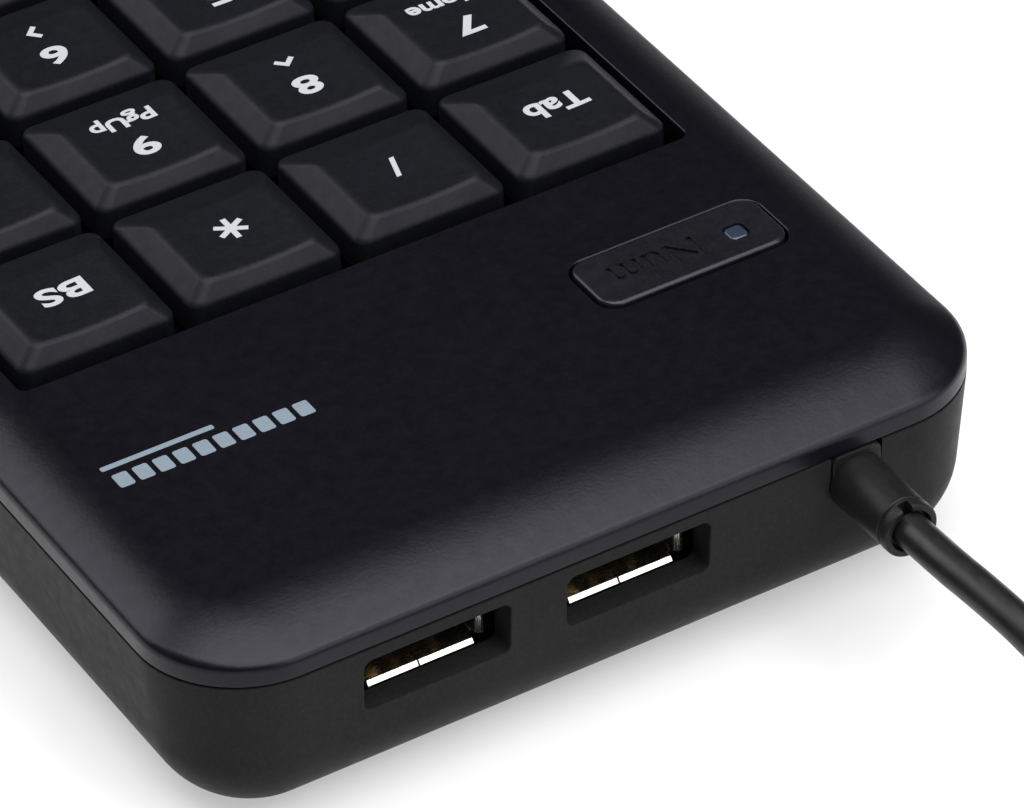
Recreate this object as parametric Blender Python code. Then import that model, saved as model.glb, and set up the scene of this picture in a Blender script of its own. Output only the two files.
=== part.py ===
"""Numeric keypad with a two-port USB hub: nineteen sprung keys, a Num button, a cord with its plug.

X is the user's right, Y points away from the user, Z is up.  The origin is at the middle of the
housing's footprint, on the surface that its feet stand on.  Sizes below are in millimetres.
"""

import math

import bmesh
import bpy
from mathutils import Matrix, Vector

MM = 0.001
GAP = 0.3

# Housing
WIDTH = 91.4
DEPTH = 152.0
HALF_X = WIDTH / 2
HALF_Y = DEPTH / 2
CORNER_RADIUS = 11.4
WALL = 2.2
UNDERSIDE_Z = 1.0
FLOOR_Z = 3.0
PARTING_Z = 20.64
PARTING_LINE = 0.3
BROW_Z = 23.1
PANEL_Z = 25.24
PANEL_THICKNESS = 2.1
RIM_SIDE = 6.4
RIM_END = 9.2
RIM_CURVE = 1.7
SIDE_DRAFT = 0.09
END_DRAFT = 0.08
BOTTOM_RADIUS = 9.0
LIP_INSET = 2.8
LIP_THICKNESS = 1.0
LIP_BOTTOM_Z = 19.3
LIP_GAP_LEFT_X = -33.0
LIP_GAP_RIGHT_X = 31.0
FLOOR_RIBS_Y = (-60.0, -29.0, 2.0, 26.0)
FLOOR_RIB_HALF_X = 34.0
FLOOR_RIB_THICKNESS = 1.2
BOARD_POSTS = ((-20.0, 50.0), (0.0, 40.0), (20.0, 50.0))
BOARD_POST_RADIUS = 2.5
ROOT_DEPTH = 0.8

# Keys
PITCH = 19.0
KEY_SIZE = 17.45
KEY_CORNER = 1.5
COLUMNS = 4
FIRST_ROW_Y = 18.14
FACET_Z = 25.5
KEY_RISE = 2.0
KEY_DISH = 0.45
TOP_INSET_SIDE = 2.29
TOP_INSET_REAR = 1.23
TOP_INSET_FRONT = 4.84
SKIRT_DEPTH = 3.6
KEY_WALL = 1.2
KEY_CEILING = 0.4
STEM_RADIUS = 2.45
STEM_BOTTOM_Z = 17.0
GUIDE_BOTTOM_Z = 19.0

# Key well
WELL_HALF_X = 38.33
WELL_REAR_Y = 28.77
WELL_FRONT_Y = -68.48
WELL_CORNER = 1.0
WELL_WALL = 1.2
WELL_WALL_BOTTOM_Z = 18.7

# Layers under the keys
FRAME_BOTTOM_Z = 17.0
FRAME_TOP_Z = 18.4
SLEEVE_TOP_Z = 22.6
SLEEVE_RADIUS = 4.0
SLEEVE_BORE = 2.9
FRAME_HALF_X = 41.0
FRAME_FRONT_Y = -71.2
FRAME_REAR_Y = 31.0
STACK_HALF_X = 40.0
STACK_FRONT_Y = -70.0
STACK_REAR_Y = 30.0
DOME_SHEET_Z = 13.2
DOME_SHEET_THICKNESS = 0.6
DOME_TOP_Z = 16.7
DOME_BASE_RADIUS = 4.5
DOME_TOP_RADIUS = 2.7
DOME_WALL = 0.7
FOIL_THICKNESS = 0.3
FOIL_UPPER_Z = 12.6
FOIL_SPACER_Z = 12.0
FOIL_LOWER_Z = 11.4
TAIL_HALF_X = 10.0
TAIL_REAR_Y = 36.0
BACKING_Z = 10.1
BACKING_THICKNESS = 1.0

# Circuit board and what stands on it
BOARD_Z = 10.7
BOARD_THICKNESS = 1.6
BOARD_TOP_Z = BOARD_Z + BOARD_THICKNESS
BOARD_FRONT_Y = 32.0
BOARD_STEP_Y = 54.0
BOARD_REAR_Y = 69.0

# Num button and lamp
NUM_X = -26.8
NUM_Y = 45.17
NUM_LENGTH = 21.6
NUM_WIDTH = 8.2
NUM_CORNER = 2.0
NUM_PROUD = 0.35
NUM_FLANGE = 1.0
NUM_FLANGE_TOP_Z = 22.3
NUM_FLANGE_BOTTOM_Z = 21.3
LAMP_X = -33.27
LAMP_Y = 45.57
LAMP_SIZE = 2.1
LAMP_SLACK = 0.2
LAMP_BOTTOM_Z = 17.5
SWITCH_SIZE = 6.0
SWITCH_TOP_Z = 16.2
PLUNGER_RADIUS = 1.6
PLUNGER_TOP_Z = 17.6
PLUNGER_BOTTOM_Z = 15.0

# USB sockets
PORTS = {"right": 19.6, "left": -2.8}
PORT_Z = 15.8
PORT_WIDTH = 16.1
PORT_HEIGHT = 6.4
PORT_CORNER = 1.0
PORT_COLLAR = 1.1
PORT_COLLAR_Y = 72.55
SHELL_Z = 15.6
SHELL_WIDTH = 13.1
SHELL_HEIGHT = 5.7
SHELL_WALL = 0.35
SHELL_MOUTH_Y = 72.25
SHELL_LENGTH = 14.0
SHELL_FLARE = 0.5
TONGUE_WIDTH = 11.1
TONGUE_HEIGHT = 1.84
TONGUE_FRONT_Y = 70.6

# Cord exit
CORD_X = -27.5
NOTCH_WIDTH = 5.9
NOTCH_BOTTOM_Z = 15.0
NECK_Z = 17.9
BOOT_END_Y = 86.0
BOOT_END_Z = 16.8

# Cord, coil and plug
CORD_RADIUS = 1.9
CORD_DIAMETER = 2 * CORD_RADIUS
COIL_X = -2.7
COIL_Y = 168.0
COIL_RADIUS = 21.0
COIL_ACROSS = 3
COIL_LAYERS = 2
COIL_LIFT = 0.92
COIL_TILT = math.radians(1.7)
TIE_ANGLE = math.radians(-45.0)
TIE_WIDTH = 6.0
TIE_THICKNESS = 0.9
PLUG_X = 36.0
PLUG_Y = 160.0
PLUG_Z = 4.2
PLUG_BODY_LENGTH = 32.0
PLUG_SHELL_LENGTH = 12.0

# The cord's own route, from the boot to the coil and from the coil to the plug
LEAD_ROUTE = [
    (-27.5, 86.3, 16.8),
    (-27.7, 92.0, 16.8),
    (-28.05, 96.5, 16.7),
    (-28.5, 103.0, 16.3),
    (-29.0, 110.0, 14.8),
    (-29.2, 118.0, 11.9),
    (-29.0, 126.0, 8.4),
    (-28.5, 134.0, 5.2),
    (-28.0, 142.0, 3.0),
    (-27.5, 152.6, 2.1),
]
TAIL_ROUTE = [
    (12.3, 192.6, 5.4),
    (18.0, 192.0, 4.2),
    (24.0, 189.6, 3.0),
    (29.2, 185.4, 2.2),
    (33.0, 179.8, 2.0),
    (35.2, 173.2, 2.4),
    (35.9, 166.6, 3.4),
    (36.0, 160.3, 4.2),
]

# Fasteners and feet
CASE_SCREWS = {"rear_left": (-31.0, 60.0), "rear_right": (31.0, 60.0)}
FRAME_SCREWS = {"front_left": (-19.0, -48.36), "front_right": (19.0, -48.36)}
SCREW_HEAD_RADIUS = 2.6
SCREW_HEAD_HEIGHT = 1.6
SCREW_HEAD_Z = 1.7
SCREW_RADIUS = 1.2
SCREW_TOP_Z = 12.0
SLOT_HALF = 1.3
SLOT_WIDTH = 0.6
SLOT_DEPTH = 0.9
COUNTERBORE_RADIUS = 3.0
COUNTERBORE_TOP_Z = 3.6
PILLAR_RADIUS = 4.5
PILLAR_TOP_Z = 5.0
POST_RADIUS = 2.7
POST_BOTTOM_Z = 5.3
POST_BORE_TOP_Z = 14.0
POST_CLEARANCE = 3.1
FOOT_RADIUS = 4.5
FOOT_HEIGHT = 1.7
FOOT_RECESS_TOP_Z = 2.0
FEET = {
    "rear_left": (-27.0, 51.0),
    "rear_right": (27.0, 51.0),
    "front_left": (-27.0, -58.0),
    "front_right": (27.0, -58.0),
}

KEY_ROWS = [
    ["key_tab", "key_divide", "key_multiply", "key_backspace"],
    ["key_7", "key_8", "key_9", "key_minus"],
    ["key_4", "key_5", "key_6", "key_plus"],
    ["key_1", "key_2", "key_3", "key_enter"],
    ["key_0", "key_00", "key_decimal"],
]


# ---------------------------------------------------------------- materials and objects


def clear_scene():
    for obj in list(bpy.data.objects):
        bpy.data.objects.remove(obj, do_unlink=True)


def material(name, colour, roughness, metallic=0.0):
    mat = bpy.data.materials.new(name)
    mat.use_nodes = True
    shader = mat.node_tree.nodes["Principled BSDF"]
    shader.inputs["Base Color"].default_value = (*colour, 1.0)
    shader.inputs["Roughness"].default_value = roughness
    shader.inputs["Metallic"].default_value = metallic
    return mat


def add_object(name, bm, mat, origin=(0.0, 0.0, 0.0)):
    """Makes an object of a mesh drawn in millimetres around its own origin."""
    bmesh.ops.remove_doubles(bm, verts=bm.verts, dist=1e-5)
    bmesh.ops.recalc_face_normals(bm, faces=bm.faces)
    bmesh.ops.scale(bm, vec=(MM, MM, MM), verts=bm.verts)
    mesh = bpy.data.meshes.new(name)
    bm.to_mesh(mesh)
    bm.free()
    mesh.shade_smooth()
    mesh.set_sharp_from_angle(angle=math.radians(35))
    obj = bpy.data.objects.new(name, mesh)
    obj.location = Vector(origin) * MM
    bpy.context.collection.objects.link(obj)
    if mat is not None:
        mesh.materials.append(mat)
    return obj


def add_boolean(obj, name, bm, operation):
    """Cuts or joins a hidden shape, drawn in millimetres in the world, with an EXACT Boolean."""
    tool = add_object(name, bm, None)
    tool.hide_render = True
    tool.hide_set(True)
    tool.display_type = "WIRE"
    modifier = obj.modifiers.new(name, "BOOLEAN")
    modifier.operation = operation
    modifier.solver = "EXACT"
    modifier.object = tool


# ---------------------------------------------------------------- shapes


def rounded_outline(half_x, half_y, radius, steps=2, centre=(0.0, 0.0)):
    """Corner arcs of a rounded rectangle, counterclockwise from the +X +Y corner."""
    points = []
    corners = [(1, 1, 0), (-1, 1, 90), (-1, -1, 180), (1, -1, 270)]
    for side_x, side_y, start in corners:
        for step in range(steps + 1):
            angle = math.radians(start + 90.0 * step / steps)
            x = side_x * (half_x - radius) + radius * math.cos(angle)
            y = side_y * (half_y - radius) + radius * math.sin(angle)
            points.append((centre[0] + x, centre[1] + y))
    return points


def circle_outline(radius, sides, centre=(0.0, 0.0), start=0.0):
    points = []
    for index in range(sides):
        angle = start + math.tau * index / sides
        points.append((centre[0] + radius * math.cos(angle), centre[1] + radius * math.sin(angle)))
    return points


def at_height(outline, z):
    return [(x, y, z) for x, y in outline]


def loft(bm, rings, cap_ends=True, closed=False):
    """Skins a list of rings that have the same number of points, and caps the first and last."""
    loops = [[bm.verts.new(point) for point in ring] for ring in rings]
    count = len(loops[0])
    pairs = list(zip(loops, loops[1:]))
    if closed:
        pairs.append((loops[-1], loops[0]))
    for lower, upper in pairs:
        for index in range(count):
            after = (index + 1) % count
            bm.faces.new((lower[index], lower[after], upper[after], upper[index]))
    if cap_ends and not closed:
        bm.faces.new(list(reversed(loops[0])))
        bm.faces.new(loops[-1])
    return loops


def add_prism(bm, outline, bottom, top):
    loft(bm, [at_height(outline, bottom), at_height(outline, top)])


def add_box(bm, low, high):
    outline = [(high[0], high[1]), (low[0], high[1]), (low[0], low[1]), (high[0], low[1])]
    add_prism(bm, outline, low[2], high[2])


def add_column(bm, centre, radius, bottom, top, sides=16):
    add_prism(bm, circle_outline(radius, sides, centre, math.pi / sides), bottom, top)


def add_cone(bm, centre, base_radius, top_radius, bottom, top, sides):
    start = math.pi / sides
    base = circle_outline(base_radius, sides, centre, start)
    crown = circle_outline(top_radius, sides, centre, start)
    loft(bm, [at_height(base, bottom), at_height(crown, top)])


def along_y(outline, y, centre_x, centre_z):
    """Stands an outline up across the Y axis."""
    return [(centre_x + a, y, centre_z + b) for a, b in outline]


# ---------------------------------------------------------------- housing


def rim_ring(share, drop_z, corner_steps=4):
    """Ring of the upper shell, a share of the way from the outer edge to the flat panel."""
    inset_x = RIM_SIDE * share
    inset_y = RIM_END * share
    radius = CORNER_RADIUS - (inset_x + inset_y) / 2
    outline = rounded_outline(HALF_X - inset_x, HALF_Y - inset_y, radius, corner_steps)
    return at_height(outline, PANEL_Z - drop_z)


def inner_ring(inset, z, corner_steps=4):
    outline = rounded_outline(HALF_X - inset, HALF_Y - inset, CORNER_RADIUS - inset, corner_steps)
    return at_height(outline, z)


def upper_shell_mesh():
    bm = bmesh.new()
    edge_z = PARTING_Z + PARTING_LINE / 2
    fall = PANEL_Z - BROW_Z
    rings = [
        inner_ring(0.0, edge_z),
        inner_ring(0.0, BROW_Z - 0.5),
        inner_ring(0.35, BROW_Z + 0.1),
    ]
    for share in (0.2, 0.45, 0.7, 1.0):
        rings.append(rim_ring(share, fall * (1.0 - share) ** RIM_CURVE))
    rings.reverse()
    ceiling = PANEL_Z - PANEL_THICKNESS
    rings += [
        inner_ring(LIP_INSET, edge_z),
        inner_ring(LIP_INSET, LIP_BOTTOM_Z),
        inner_ring(LIP_INSET + LIP_THICKNESS, LIP_BOTTOM_Z),
        inner_ring(LIP_INSET + LIP_THICKNESS, 21.4),
        inner_ring(7.0, ceiling - 0.4),
        inner_ring(10.0, ceiling),
    ]
    loft(bm, rings)
    return bm


def well_outline(grow):
    centre = (0.0, (WELL_REAR_Y + WELL_FRONT_Y) / 2)
    half_y = (WELL_REAR_Y - WELL_FRONT_Y) / 2
    return rounded_outline(WELL_HALF_X + grow, half_y + grow, WELL_CORNER + grow, 2, centre)


def make_top_cover(mat):
    cover = add_object("top_cover", upper_shell_mesh(), mat)

    added = bmesh.new()
    add_prism(added, well_outline(WELL_WALL), WELL_WALL_BOTTOM_Z, PANEL_Z - 1.0)
    for centre in CASE_SCREWS.values():
        add_column(added, centre, POST_RADIUS, POST_BOTTOM_Z, PANEL_Z - 1.0)
    add_boolean(cover, "top_cover_added", added, "UNION")

    taken = bmesh.new()
    add_prism(taken, well_outline(0.0), WELL_WALL_BOTTOM_Z - 1.0, PANEL_Z + 1.0)
    button_hole = rounded_outline(
        NUM_LENGTH / 2 + GAP, NUM_WIDTH / 2 + GAP, NUM_CORNER + GAP, 3, (NUM_X, NUM_Y)
    )
    add_prism(taken, button_hole, PANEL_Z - PANEL_THICKNESS - 1.0, PANEL_Z + 1.0)
    for centre in CASE_SCREWS.values():
        add_column(taken, centre, SCREW_RADIUS + GAP, POST_BOTTOM_Z - 1.0, POST_BORE_TOP_Z)
    # The lip is left out along the rear wall, where the sockets and the cord's boot come through.
    low = (LIP_GAP_LEFT_X, HALF_Y - 6.0, LIP_BOTTOM_Z - 1.0)
    high = (LIP_GAP_RIGHT_X, HALF_Y - LIP_INSET + 0.2, PARTING_Z + PARTING_LINE / 2)
    add_box(taken, low, high)
    add_boolean(cover, "top_cover_taken", taken, "DIFFERENCE")
    return cover


def tray_ring(depth, inset, z, corner_steps=4):
    """Ring of the lower tray at a depth under the parting line, drawn in by an extra inset."""
    inset_x = SIDE_DRAFT * depth + inset
    inset_y = END_DRAFT * depth + inset
    radius = max(CORNER_RADIUS - (inset_x + inset_y) / 2, 1.0)
    outline = rounded_outline(HALF_X - inset_x, HALF_Y - inset_y, radius, corner_steps)
    return at_height(outline, z)


def tray_profile(inset, floor_z, radius, arc_steps):
    """Rings from the flat of the floor up round the bottom radius to the parting line."""
    rings = []
    for step in range(arc_steps + 1):
        angle = math.radians(90.0 * (1.0 - step / arc_steps))
        z = floor_z + radius * (1.0 - math.sin(angle))
        depth = PARTING_Z - z
        rings.append(tray_ring(depth, inset + radius * (1.0 - math.cos(angle)), z))
    rings.append(tray_ring(0.0, inset, PARTING_Z - PARTING_LINE / 2))
    return rings


def make_bottom_cover(mat):
    outer = tray_profile(0.0, UNDERSIDE_Z, BOTTOM_RADIUS, 5)
    inner = tray_profile(WALL, FLOOR_Z, BOTTOM_RADIUS - WALL, 3)
    bm = bmesh.new()
    loft(bm, outer + list(reversed(inner)))
    cover = add_object("bottom_cover", bm, mat)

    added = bmesh.new()
    collar_half_x = PORT_WIDTH / 2 + PORT_COLLAR
    collar_half_z = PORT_HEIGHT / 2 + PORT_COLLAR
    for port_x in PORTS.values():
        low = (port_x - collar_half_x, PORT_COLLAR_Y, PORT_Z - collar_half_z)
        high = (port_x + collar_half_x, HALF_Y - 1.4, PORT_Z + collar_half_z)
        add_box(added, low, high)
    for centre in list(CASE_SCREWS.values()) + list(FRAME_SCREWS.values()):
        add_column(added, centre, PILLAR_RADIUS, FLOOR_Z - ROOT_DEPTH, PILLAR_TOP_Z, 16)
    for rib_y in FLOOR_RIBS_Y:
        low = (-FLOOR_RIB_HALF_X, rib_y - FLOOR_RIB_THICKNESS / 2, FLOOR_Z - ROOT_DEPTH)
        high = (FLOOR_RIB_HALF_X, rib_y + FLOOR_RIB_THICKNESS / 2, BACKING_Z - GAP)
        add_box(added, low, high)
    for post in BOARD_POSTS:
        add_column(added, post, BOARD_POST_RADIUS, FLOOR_Z - ROOT_DEPTH, BOARD_Z - GAP, 12)
    add_boolean(cover, "bottom_cover_added", added, "UNION")

    taken = bmesh.new()
    for port_x in PORTS.values():
        outline = rounded_outline(PORT_WIDTH / 2, PORT_HEIGHT / 2, PORT_CORNER, 2)
        rings = [along_y(outline, y, port_x, PORT_Z) for y in (PORT_COLLAR_Y - 1.0, HALF_Y + 1.0)]
        loft(taken, rings)
    notch_z = (NOTCH_BOTTOM_Z + PARTING_Z + 3.0) / 2
    notch = rounded_outline(NOTCH_WIDTH / 2, notch_z - NOTCH_BOTTOM_Z, 1.8, 3)
    loft(taken, [along_y(notch, y, CORD_X, notch_z) for y in (HALF_Y - 6.0, HALF_Y + 1.0)])
    screw_hole = [
        (COUNTERBORE_RADIUS, UNDERSIDE_Z - 1.0),
        (COUNTERBORE_RADIUS, COUNTERBORE_TOP_Z),
        (SCREW_RADIUS + GAP, COUNTERBORE_TOP_Z),
        (SCREW_RADIUS + GAP, PILLAR_TOP_Z + 1.0),
    ]
    for centre in list(CASE_SCREWS.values()) + list(FRAME_SCREWS.values()):
        loft(taken, [at_height(circle_outline(radius, 16, centre), z) for radius, z in screw_hole])
    for centre in FEET.values():
        add_column(taken, centre, FOOT_RADIUS + GAP, UNDERSIDE_Z - 1.0, FOOT_RECESS_TOP_Z, 24)
    add_boolean(cover, "bottom_cover_taken", taken, "DIFFERENCE")
    return cover


# ---------------------------------------------------------------- keys


def key_places():
    """Name, centre and number of rows of each key."""
    places = []
    for row, names in enumerate(KEY_ROWS):
        for column, name in enumerate(names):
            x = (column - (COLUMNS - 1) / 2) * PITCH
            y = FIRST_ROW_Y - row * PITCH
            rows = 1
            if name == "key_enter":
                rows = 2
                y -= PITCH / 2
            places.append((name, (x, y), rows))
    return places


def cap_ring(half_x, front, rear, corner, height):
    """Twelve points round a keycap; height gives z for an x, so that the top can be dished."""
    inner = half_x - corner
    third = inner / 3
    points = [
        (half_x, rear - corner),
        (inner, rear),
        (third, rear),
        (-third, rear),
        (-inner, rear),
        (-half_x, rear - corner),
        (-half_x, front + corner),
        (-inner, front),
        (-third, front),
        (third, front),
        (inner, front),
        (half_x, front + corner),
    ]
    return [(x, y, height(x)) for x, y in points]


def keycap_mesh(rows):
    """One closed skin: stem, ceiling, inner wall, skirt, facets, and the dished top."""
    half_x = KEY_SIZE / 2
    half_y = half_x + (rows - 1) * PITCH / 2
    top_half_x = half_x - TOP_INSET_SIDE

    def dished(x):
        return KEY_RISE - KEY_DISH * (1.0 - (x / top_half_x) ** 2)

    stem = circle_outline(STEM_RADIUS, 12, start=math.radians(15))
    hollow = half_x - KEY_WALL
    hollow_y = half_y - KEY_WALL
    rings = [
        at_height(stem, STEM_BOTTOM_Z - FACET_Z),
        at_height(stem, KEY_CEILING),
        cap_ring(hollow - 0.5, 1.0 - hollow_y, hollow_y - 0.3, 0.6, lambda x: KEY_CEILING),
        cap_ring(hollow, -hollow_y, hollow_y, 0.8, lambda x: -0.8),
        cap_ring(hollow, -hollow_y, hollow_y, 0.8, lambda x: -SKIRT_DEPTH),
        cap_ring(half_x, -half_y, half_y, KEY_CORNER, lambda x: -SKIRT_DEPTH),
        cap_ring(half_x, -half_y, half_y, KEY_CORNER, lambda x: 0.0),
        cap_ring(top_half_x, TOP_INSET_FRONT - half_y, half_y - TOP_INSET_REAR, 0.8, dished),
    ]
    bm = bmesh.new()
    loops = loft(bm, rings, cap_ends=False)
    bm.faces.new(list(reversed(loops[0])))
    top = loops[-1]
    for index in range(5):
        bm.faces.new((top[index], top[index + 1], top[10 - index], top[11 - index]))
    return bm


def make_keys(mat):
    for name, (x, y), rows in key_places():
        key = add_object(name, keycap_mesh(rows), mat, (x, y, FACET_Z))
        if rows == 2:
            guides = bmesh.new()
            for side in (-1, 1):
                centre = (x, y + side * PITCH / 2)
                add_column(guides, centre, STEM_RADIUS, GUIDE_BOTTOM_Z, FACET_Z + 0.8, 12)
            add_boolean(key, name + "_guides", guides, "UNION")


def sleeve_centres():
    centres = []
    for _, (x, y), rows in key_places():
        centres.append((x, y))
        if rows == 2:
            centres += [(x, y - PITCH / 2), (x, y + PITCH / 2)]
    return centres


def make_key_frame(mat):
    bm = bmesh.new()
    centre = (0.0, (FRAME_REAR_Y + FRAME_FRONT_Y) / 2)
    half_y = (FRAME_REAR_Y - FRAME_FRONT_Y) / 2
    add_prism(
        bm, rounded_outline(FRAME_HALF_X, half_y, 3.0, 2, centre), FRAME_BOTTOM_Z, FRAME_TOP_Z
    )
    frame = add_object("key_frame", bm, mat)

    added = bmesh.new()
    for sleeve in sleeve_centres():
        add_column(added, sleeve, SLEEVE_RADIUS, FRAME_TOP_Z - 0.7, SLEEVE_TOP_Z, 12)
    for post in FRAME_SCREWS.values():
        add_column(added, post, POST_RADIUS, POST_BOTTOM_Z, FRAME_TOP_Z - 0.7)
    add_boolean(frame, "key_frame_added", added, "UNION")

    taken = bmesh.new()
    for sleeve in sleeve_centres():
        add_column(taken, sleeve, SLEEVE_BORE, FRAME_BOTTOM_Z - 1.0, SLEEVE_TOP_Z + 1.0, 12)
    for post in FRAME_SCREWS.values():
        add_column(taken, post, SCREW_RADIUS + GAP, POST_BOTTOM_Z - 1.0, POST_BORE_TOP_Z, 12)
    add_boolean(frame, "key_frame_taken", taken, "DIFFERENCE")


# ---------------------------------------------------------------- layers under the keys


def layer_outline():
    centre = (0.0, (STACK_REAR_Y + STACK_FRONT_Y) / 2)
    half_y = (STACK_REAR_Y - STACK_FRONT_Y) / 2
    return rounded_outline(STACK_HALF_X, half_y, 3.0, 2, centre)


def cut_post_holes(obj, bottom, top):
    taken = bmesh.new()
    for post in FRAME_SCREWS.values():
        add_column(taken, post, POST_CLEARANCE, bottom - 1.0, top + 1.0, 12)
    add_boolean(obj, obj.name + "_holes", taken, "DIFFERENCE")


def make_layer(name, mat, bottom, thickness):
    bm = bmesh.new()
    add_prism(bm, layer_outline(), bottom, bottom + thickness)
    layer = add_object(name, bm, mat)
    cut_post_holes(layer, bottom, bottom + thickness)
    return layer


def make_dome_sheet(mat):
    top = DOME_SHEET_Z + DOME_SHEET_THICKNESS
    bm = bmesh.new()
    add_prism(bm, layer_outline(), DOME_SHEET_Z, top)
    sheet = add_object("rubber_dome_sheet", bm, mat)

    domes = bmesh.new()
    hollows = bmesh.new()
    for _, centre, _ in key_places():
        base = DOME_BASE_RADIUS
        crown = DOME_TOP_RADIUS
        add_cone(domes, centre, base, crown, top - 0.2, DOME_TOP_Z, 10)
        inside = (base - DOME_WALL, crown - DOME_WALL)
        add_cone(hollows, centre, *inside, DOME_SHEET_Z - 0.5, DOME_TOP_Z - DOME_WALL, 10)
    add_boolean(sheet, "dome_sheet_domes", domes, "UNION")
    add_boolean(sheet, "dome_sheet_hollows", hollows, "DIFFERENCE")
    cut_post_holes(sheet, DOME_SHEET_Z, DOME_TOP_Z)


def make_upper_foil(mat):
    foil = make_layer("membrane_upper", mat, FOIL_UPPER_Z, FOIL_THICKNESS)
    tail = bmesh.new()
    low = (-TAIL_HALF_X, STACK_REAR_Y - 4.0, FOIL_UPPER_Z)
    add_box(tail, low, (TAIL_HALF_X, TAIL_REAR_Y, FOIL_UPPER_Z + FOIL_THICKNESS))
    add_boolean(foil, "membrane_tail", tail, "UNION")


# ---------------------------------------------------------------- circuit board


def make_board(mat):
    outline = [
        (33.0, BOARD_FRONT_Y),
        (33.0, BOARD_STEP_Y),
        (27.0, BOARD_STEP_Y),
        (27.0, BOARD_REAR_Y),
        (-20.0, BOARD_REAR_Y),
        (-20.0, BOARD_STEP_Y),
        (-37.0, BOARD_STEP_Y),
        (-37.0, BOARD_FRONT_Y),
    ]
    bm = bmesh.new()
    add_prism(bm, outline, BOARD_Z, BOARD_TOP_Z)
    add_object("main_pcb", bm, mat)


def make_on_board(name, mat, centre, size, corner=0.3):
    """A part that stands on the board, drawn as a block with rounded upright edges."""
    bottom = BOARD_TOP_Z + GAP
    bm = bmesh.new()
    outline = rounded_outline(size[0] / 2, size[1] / 2, corner, 2, centre)
    add_prism(bm, outline, bottom, bottom + size[2])
    return add_object(name, bm, mat)


def make_membrane_connector(mat):
    connector = make_on_board("membrane_connector", mat, (0.0, 36.5), (26.0, 5.0, 2.8))
    slot = bmesh.new()
    low = (-TAIL_HALF_X - 0.4, 30.0, BOARD_TOP_Z)
    add_box(slot, low, (TAIL_HALF_X + 0.4, TAIL_REAR_Y + GAP, FOIL_UPPER_Z + 0.6))
    add_boolean(connector, "membrane_connector_slot", slot, "DIFFERENCE")


def make_num_switch(body_mat, plunger_mat):
    bottom = BOARD_TOP_Z + GAP
    height = SWITCH_TOP_Z - bottom
    size = (SWITCH_SIZE, SWITCH_SIZE, height)
    body = make_on_board("num_switch_body", body_mat, (NUM_X, NUM_Y), size)
    bore = bmesh.new()
    pocket_z = PLUNGER_BOTTOM_Z - 0.7
    add_column(bore, (NUM_X, NUM_Y), PLUNGER_RADIUS + GAP, pocket_z, SWITCH_TOP_Z + 1.0, 16)
    add_boolean(body, "num_switch_bore", bore, "DIFFERENCE")

    plunger = bmesh.new()
    add_column(plunger, (0.0, 0.0), PLUNGER_RADIUS, PLUNGER_BOTTOM_Z, PLUNGER_TOP_Z, 16)
    bmesh.ops.translate(plunger, vec=(0.0, 0.0, -PLUNGER_BOTTOM_Z), verts=plunger.verts)
    origin = (NUM_X, NUM_Y, PLUNGER_BOTTOM_Z)
    add_object("num_switch_plunger", plunger, plunger_mat, origin)


def make_num_button(mat, lamp_mat, led_mat):
    half_x = NUM_LENGTH / 2
    half_y = NUM_WIDTH / 2
    proud = PANEL_Z + NUM_PROUD
    sections = [
        (-NUM_FLANGE, NUM_FLANGE_BOTTOM_Z),
        (-NUM_FLANGE, NUM_FLANGE_TOP_Z),
        (0.0, NUM_FLANGE_TOP_Z),
        (0.0, proud - 0.3),
        (0.12, proud - 0.08),
        (0.35, proud),
    ]
    rings = []
    for inset, z in sections:
        outline = rounded_outline(half_x - inset, half_y - inset, NUM_CORNER - inset / 2, 3)
        rings.append(at_height(outline, z - PANEL_Z))
    bm = bmesh.new()
    loft(bm, rings)
    button = add_object("num_button", bm, mat, (NUM_X, NUM_Y, PANEL_Z))

    stem = bmesh.new()
    stem_bottom = PLUNGER_TOP_Z + GAP
    add_column(stem, (NUM_X, NUM_Y), PLUNGER_RADIUS, stem_bottom, NUM_FLANGE_TOP_Z, 12)
    add_boolean(button, "num_button_stem", stem, "UNION")

    half = LAMP_SIZE / 2
    window = bmesh.new()
    slack = half + LAMP_SLACK
    hole = rounded_outline(slack, slack, 0.5, 2, (LAMP_X, LAMP_Y))
    add_prism(window, hole, NUM_FLANGE_BOTTOM_Z - 1.0, proud + 1.0)
    add_boolean(button, "num_button_window", window, "DIFFERENCE")

    pipe = bmesh.new()
    pipe_outline = rounded_outline(half, half, 0.35)
    add_prism(pipe, pipe_outline, LAMP_BOTTOM_Z - PANEL_Z, NUM_PROUD - 0.05)
    add_object("num_light_pipe", pipe, lamp_mat, (LAMP_X, LAMP_Y, PANEL_Z))

    led = bmesh.new()
    profile = [(1.9, 12.6), (1.9, 13.5), (1.5, 13.5), (1.5, 15.6), (1.2, 16.5), (0.6, 17.0)]
    loft(led, [at_height(circle_outline(r, 12, (LAMP_X, LAMP_Y)), z) for r, z in profile])
    add_object("num_led", led, led_mat)


# ---------------------------------------------------------------- USB sockets


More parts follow.
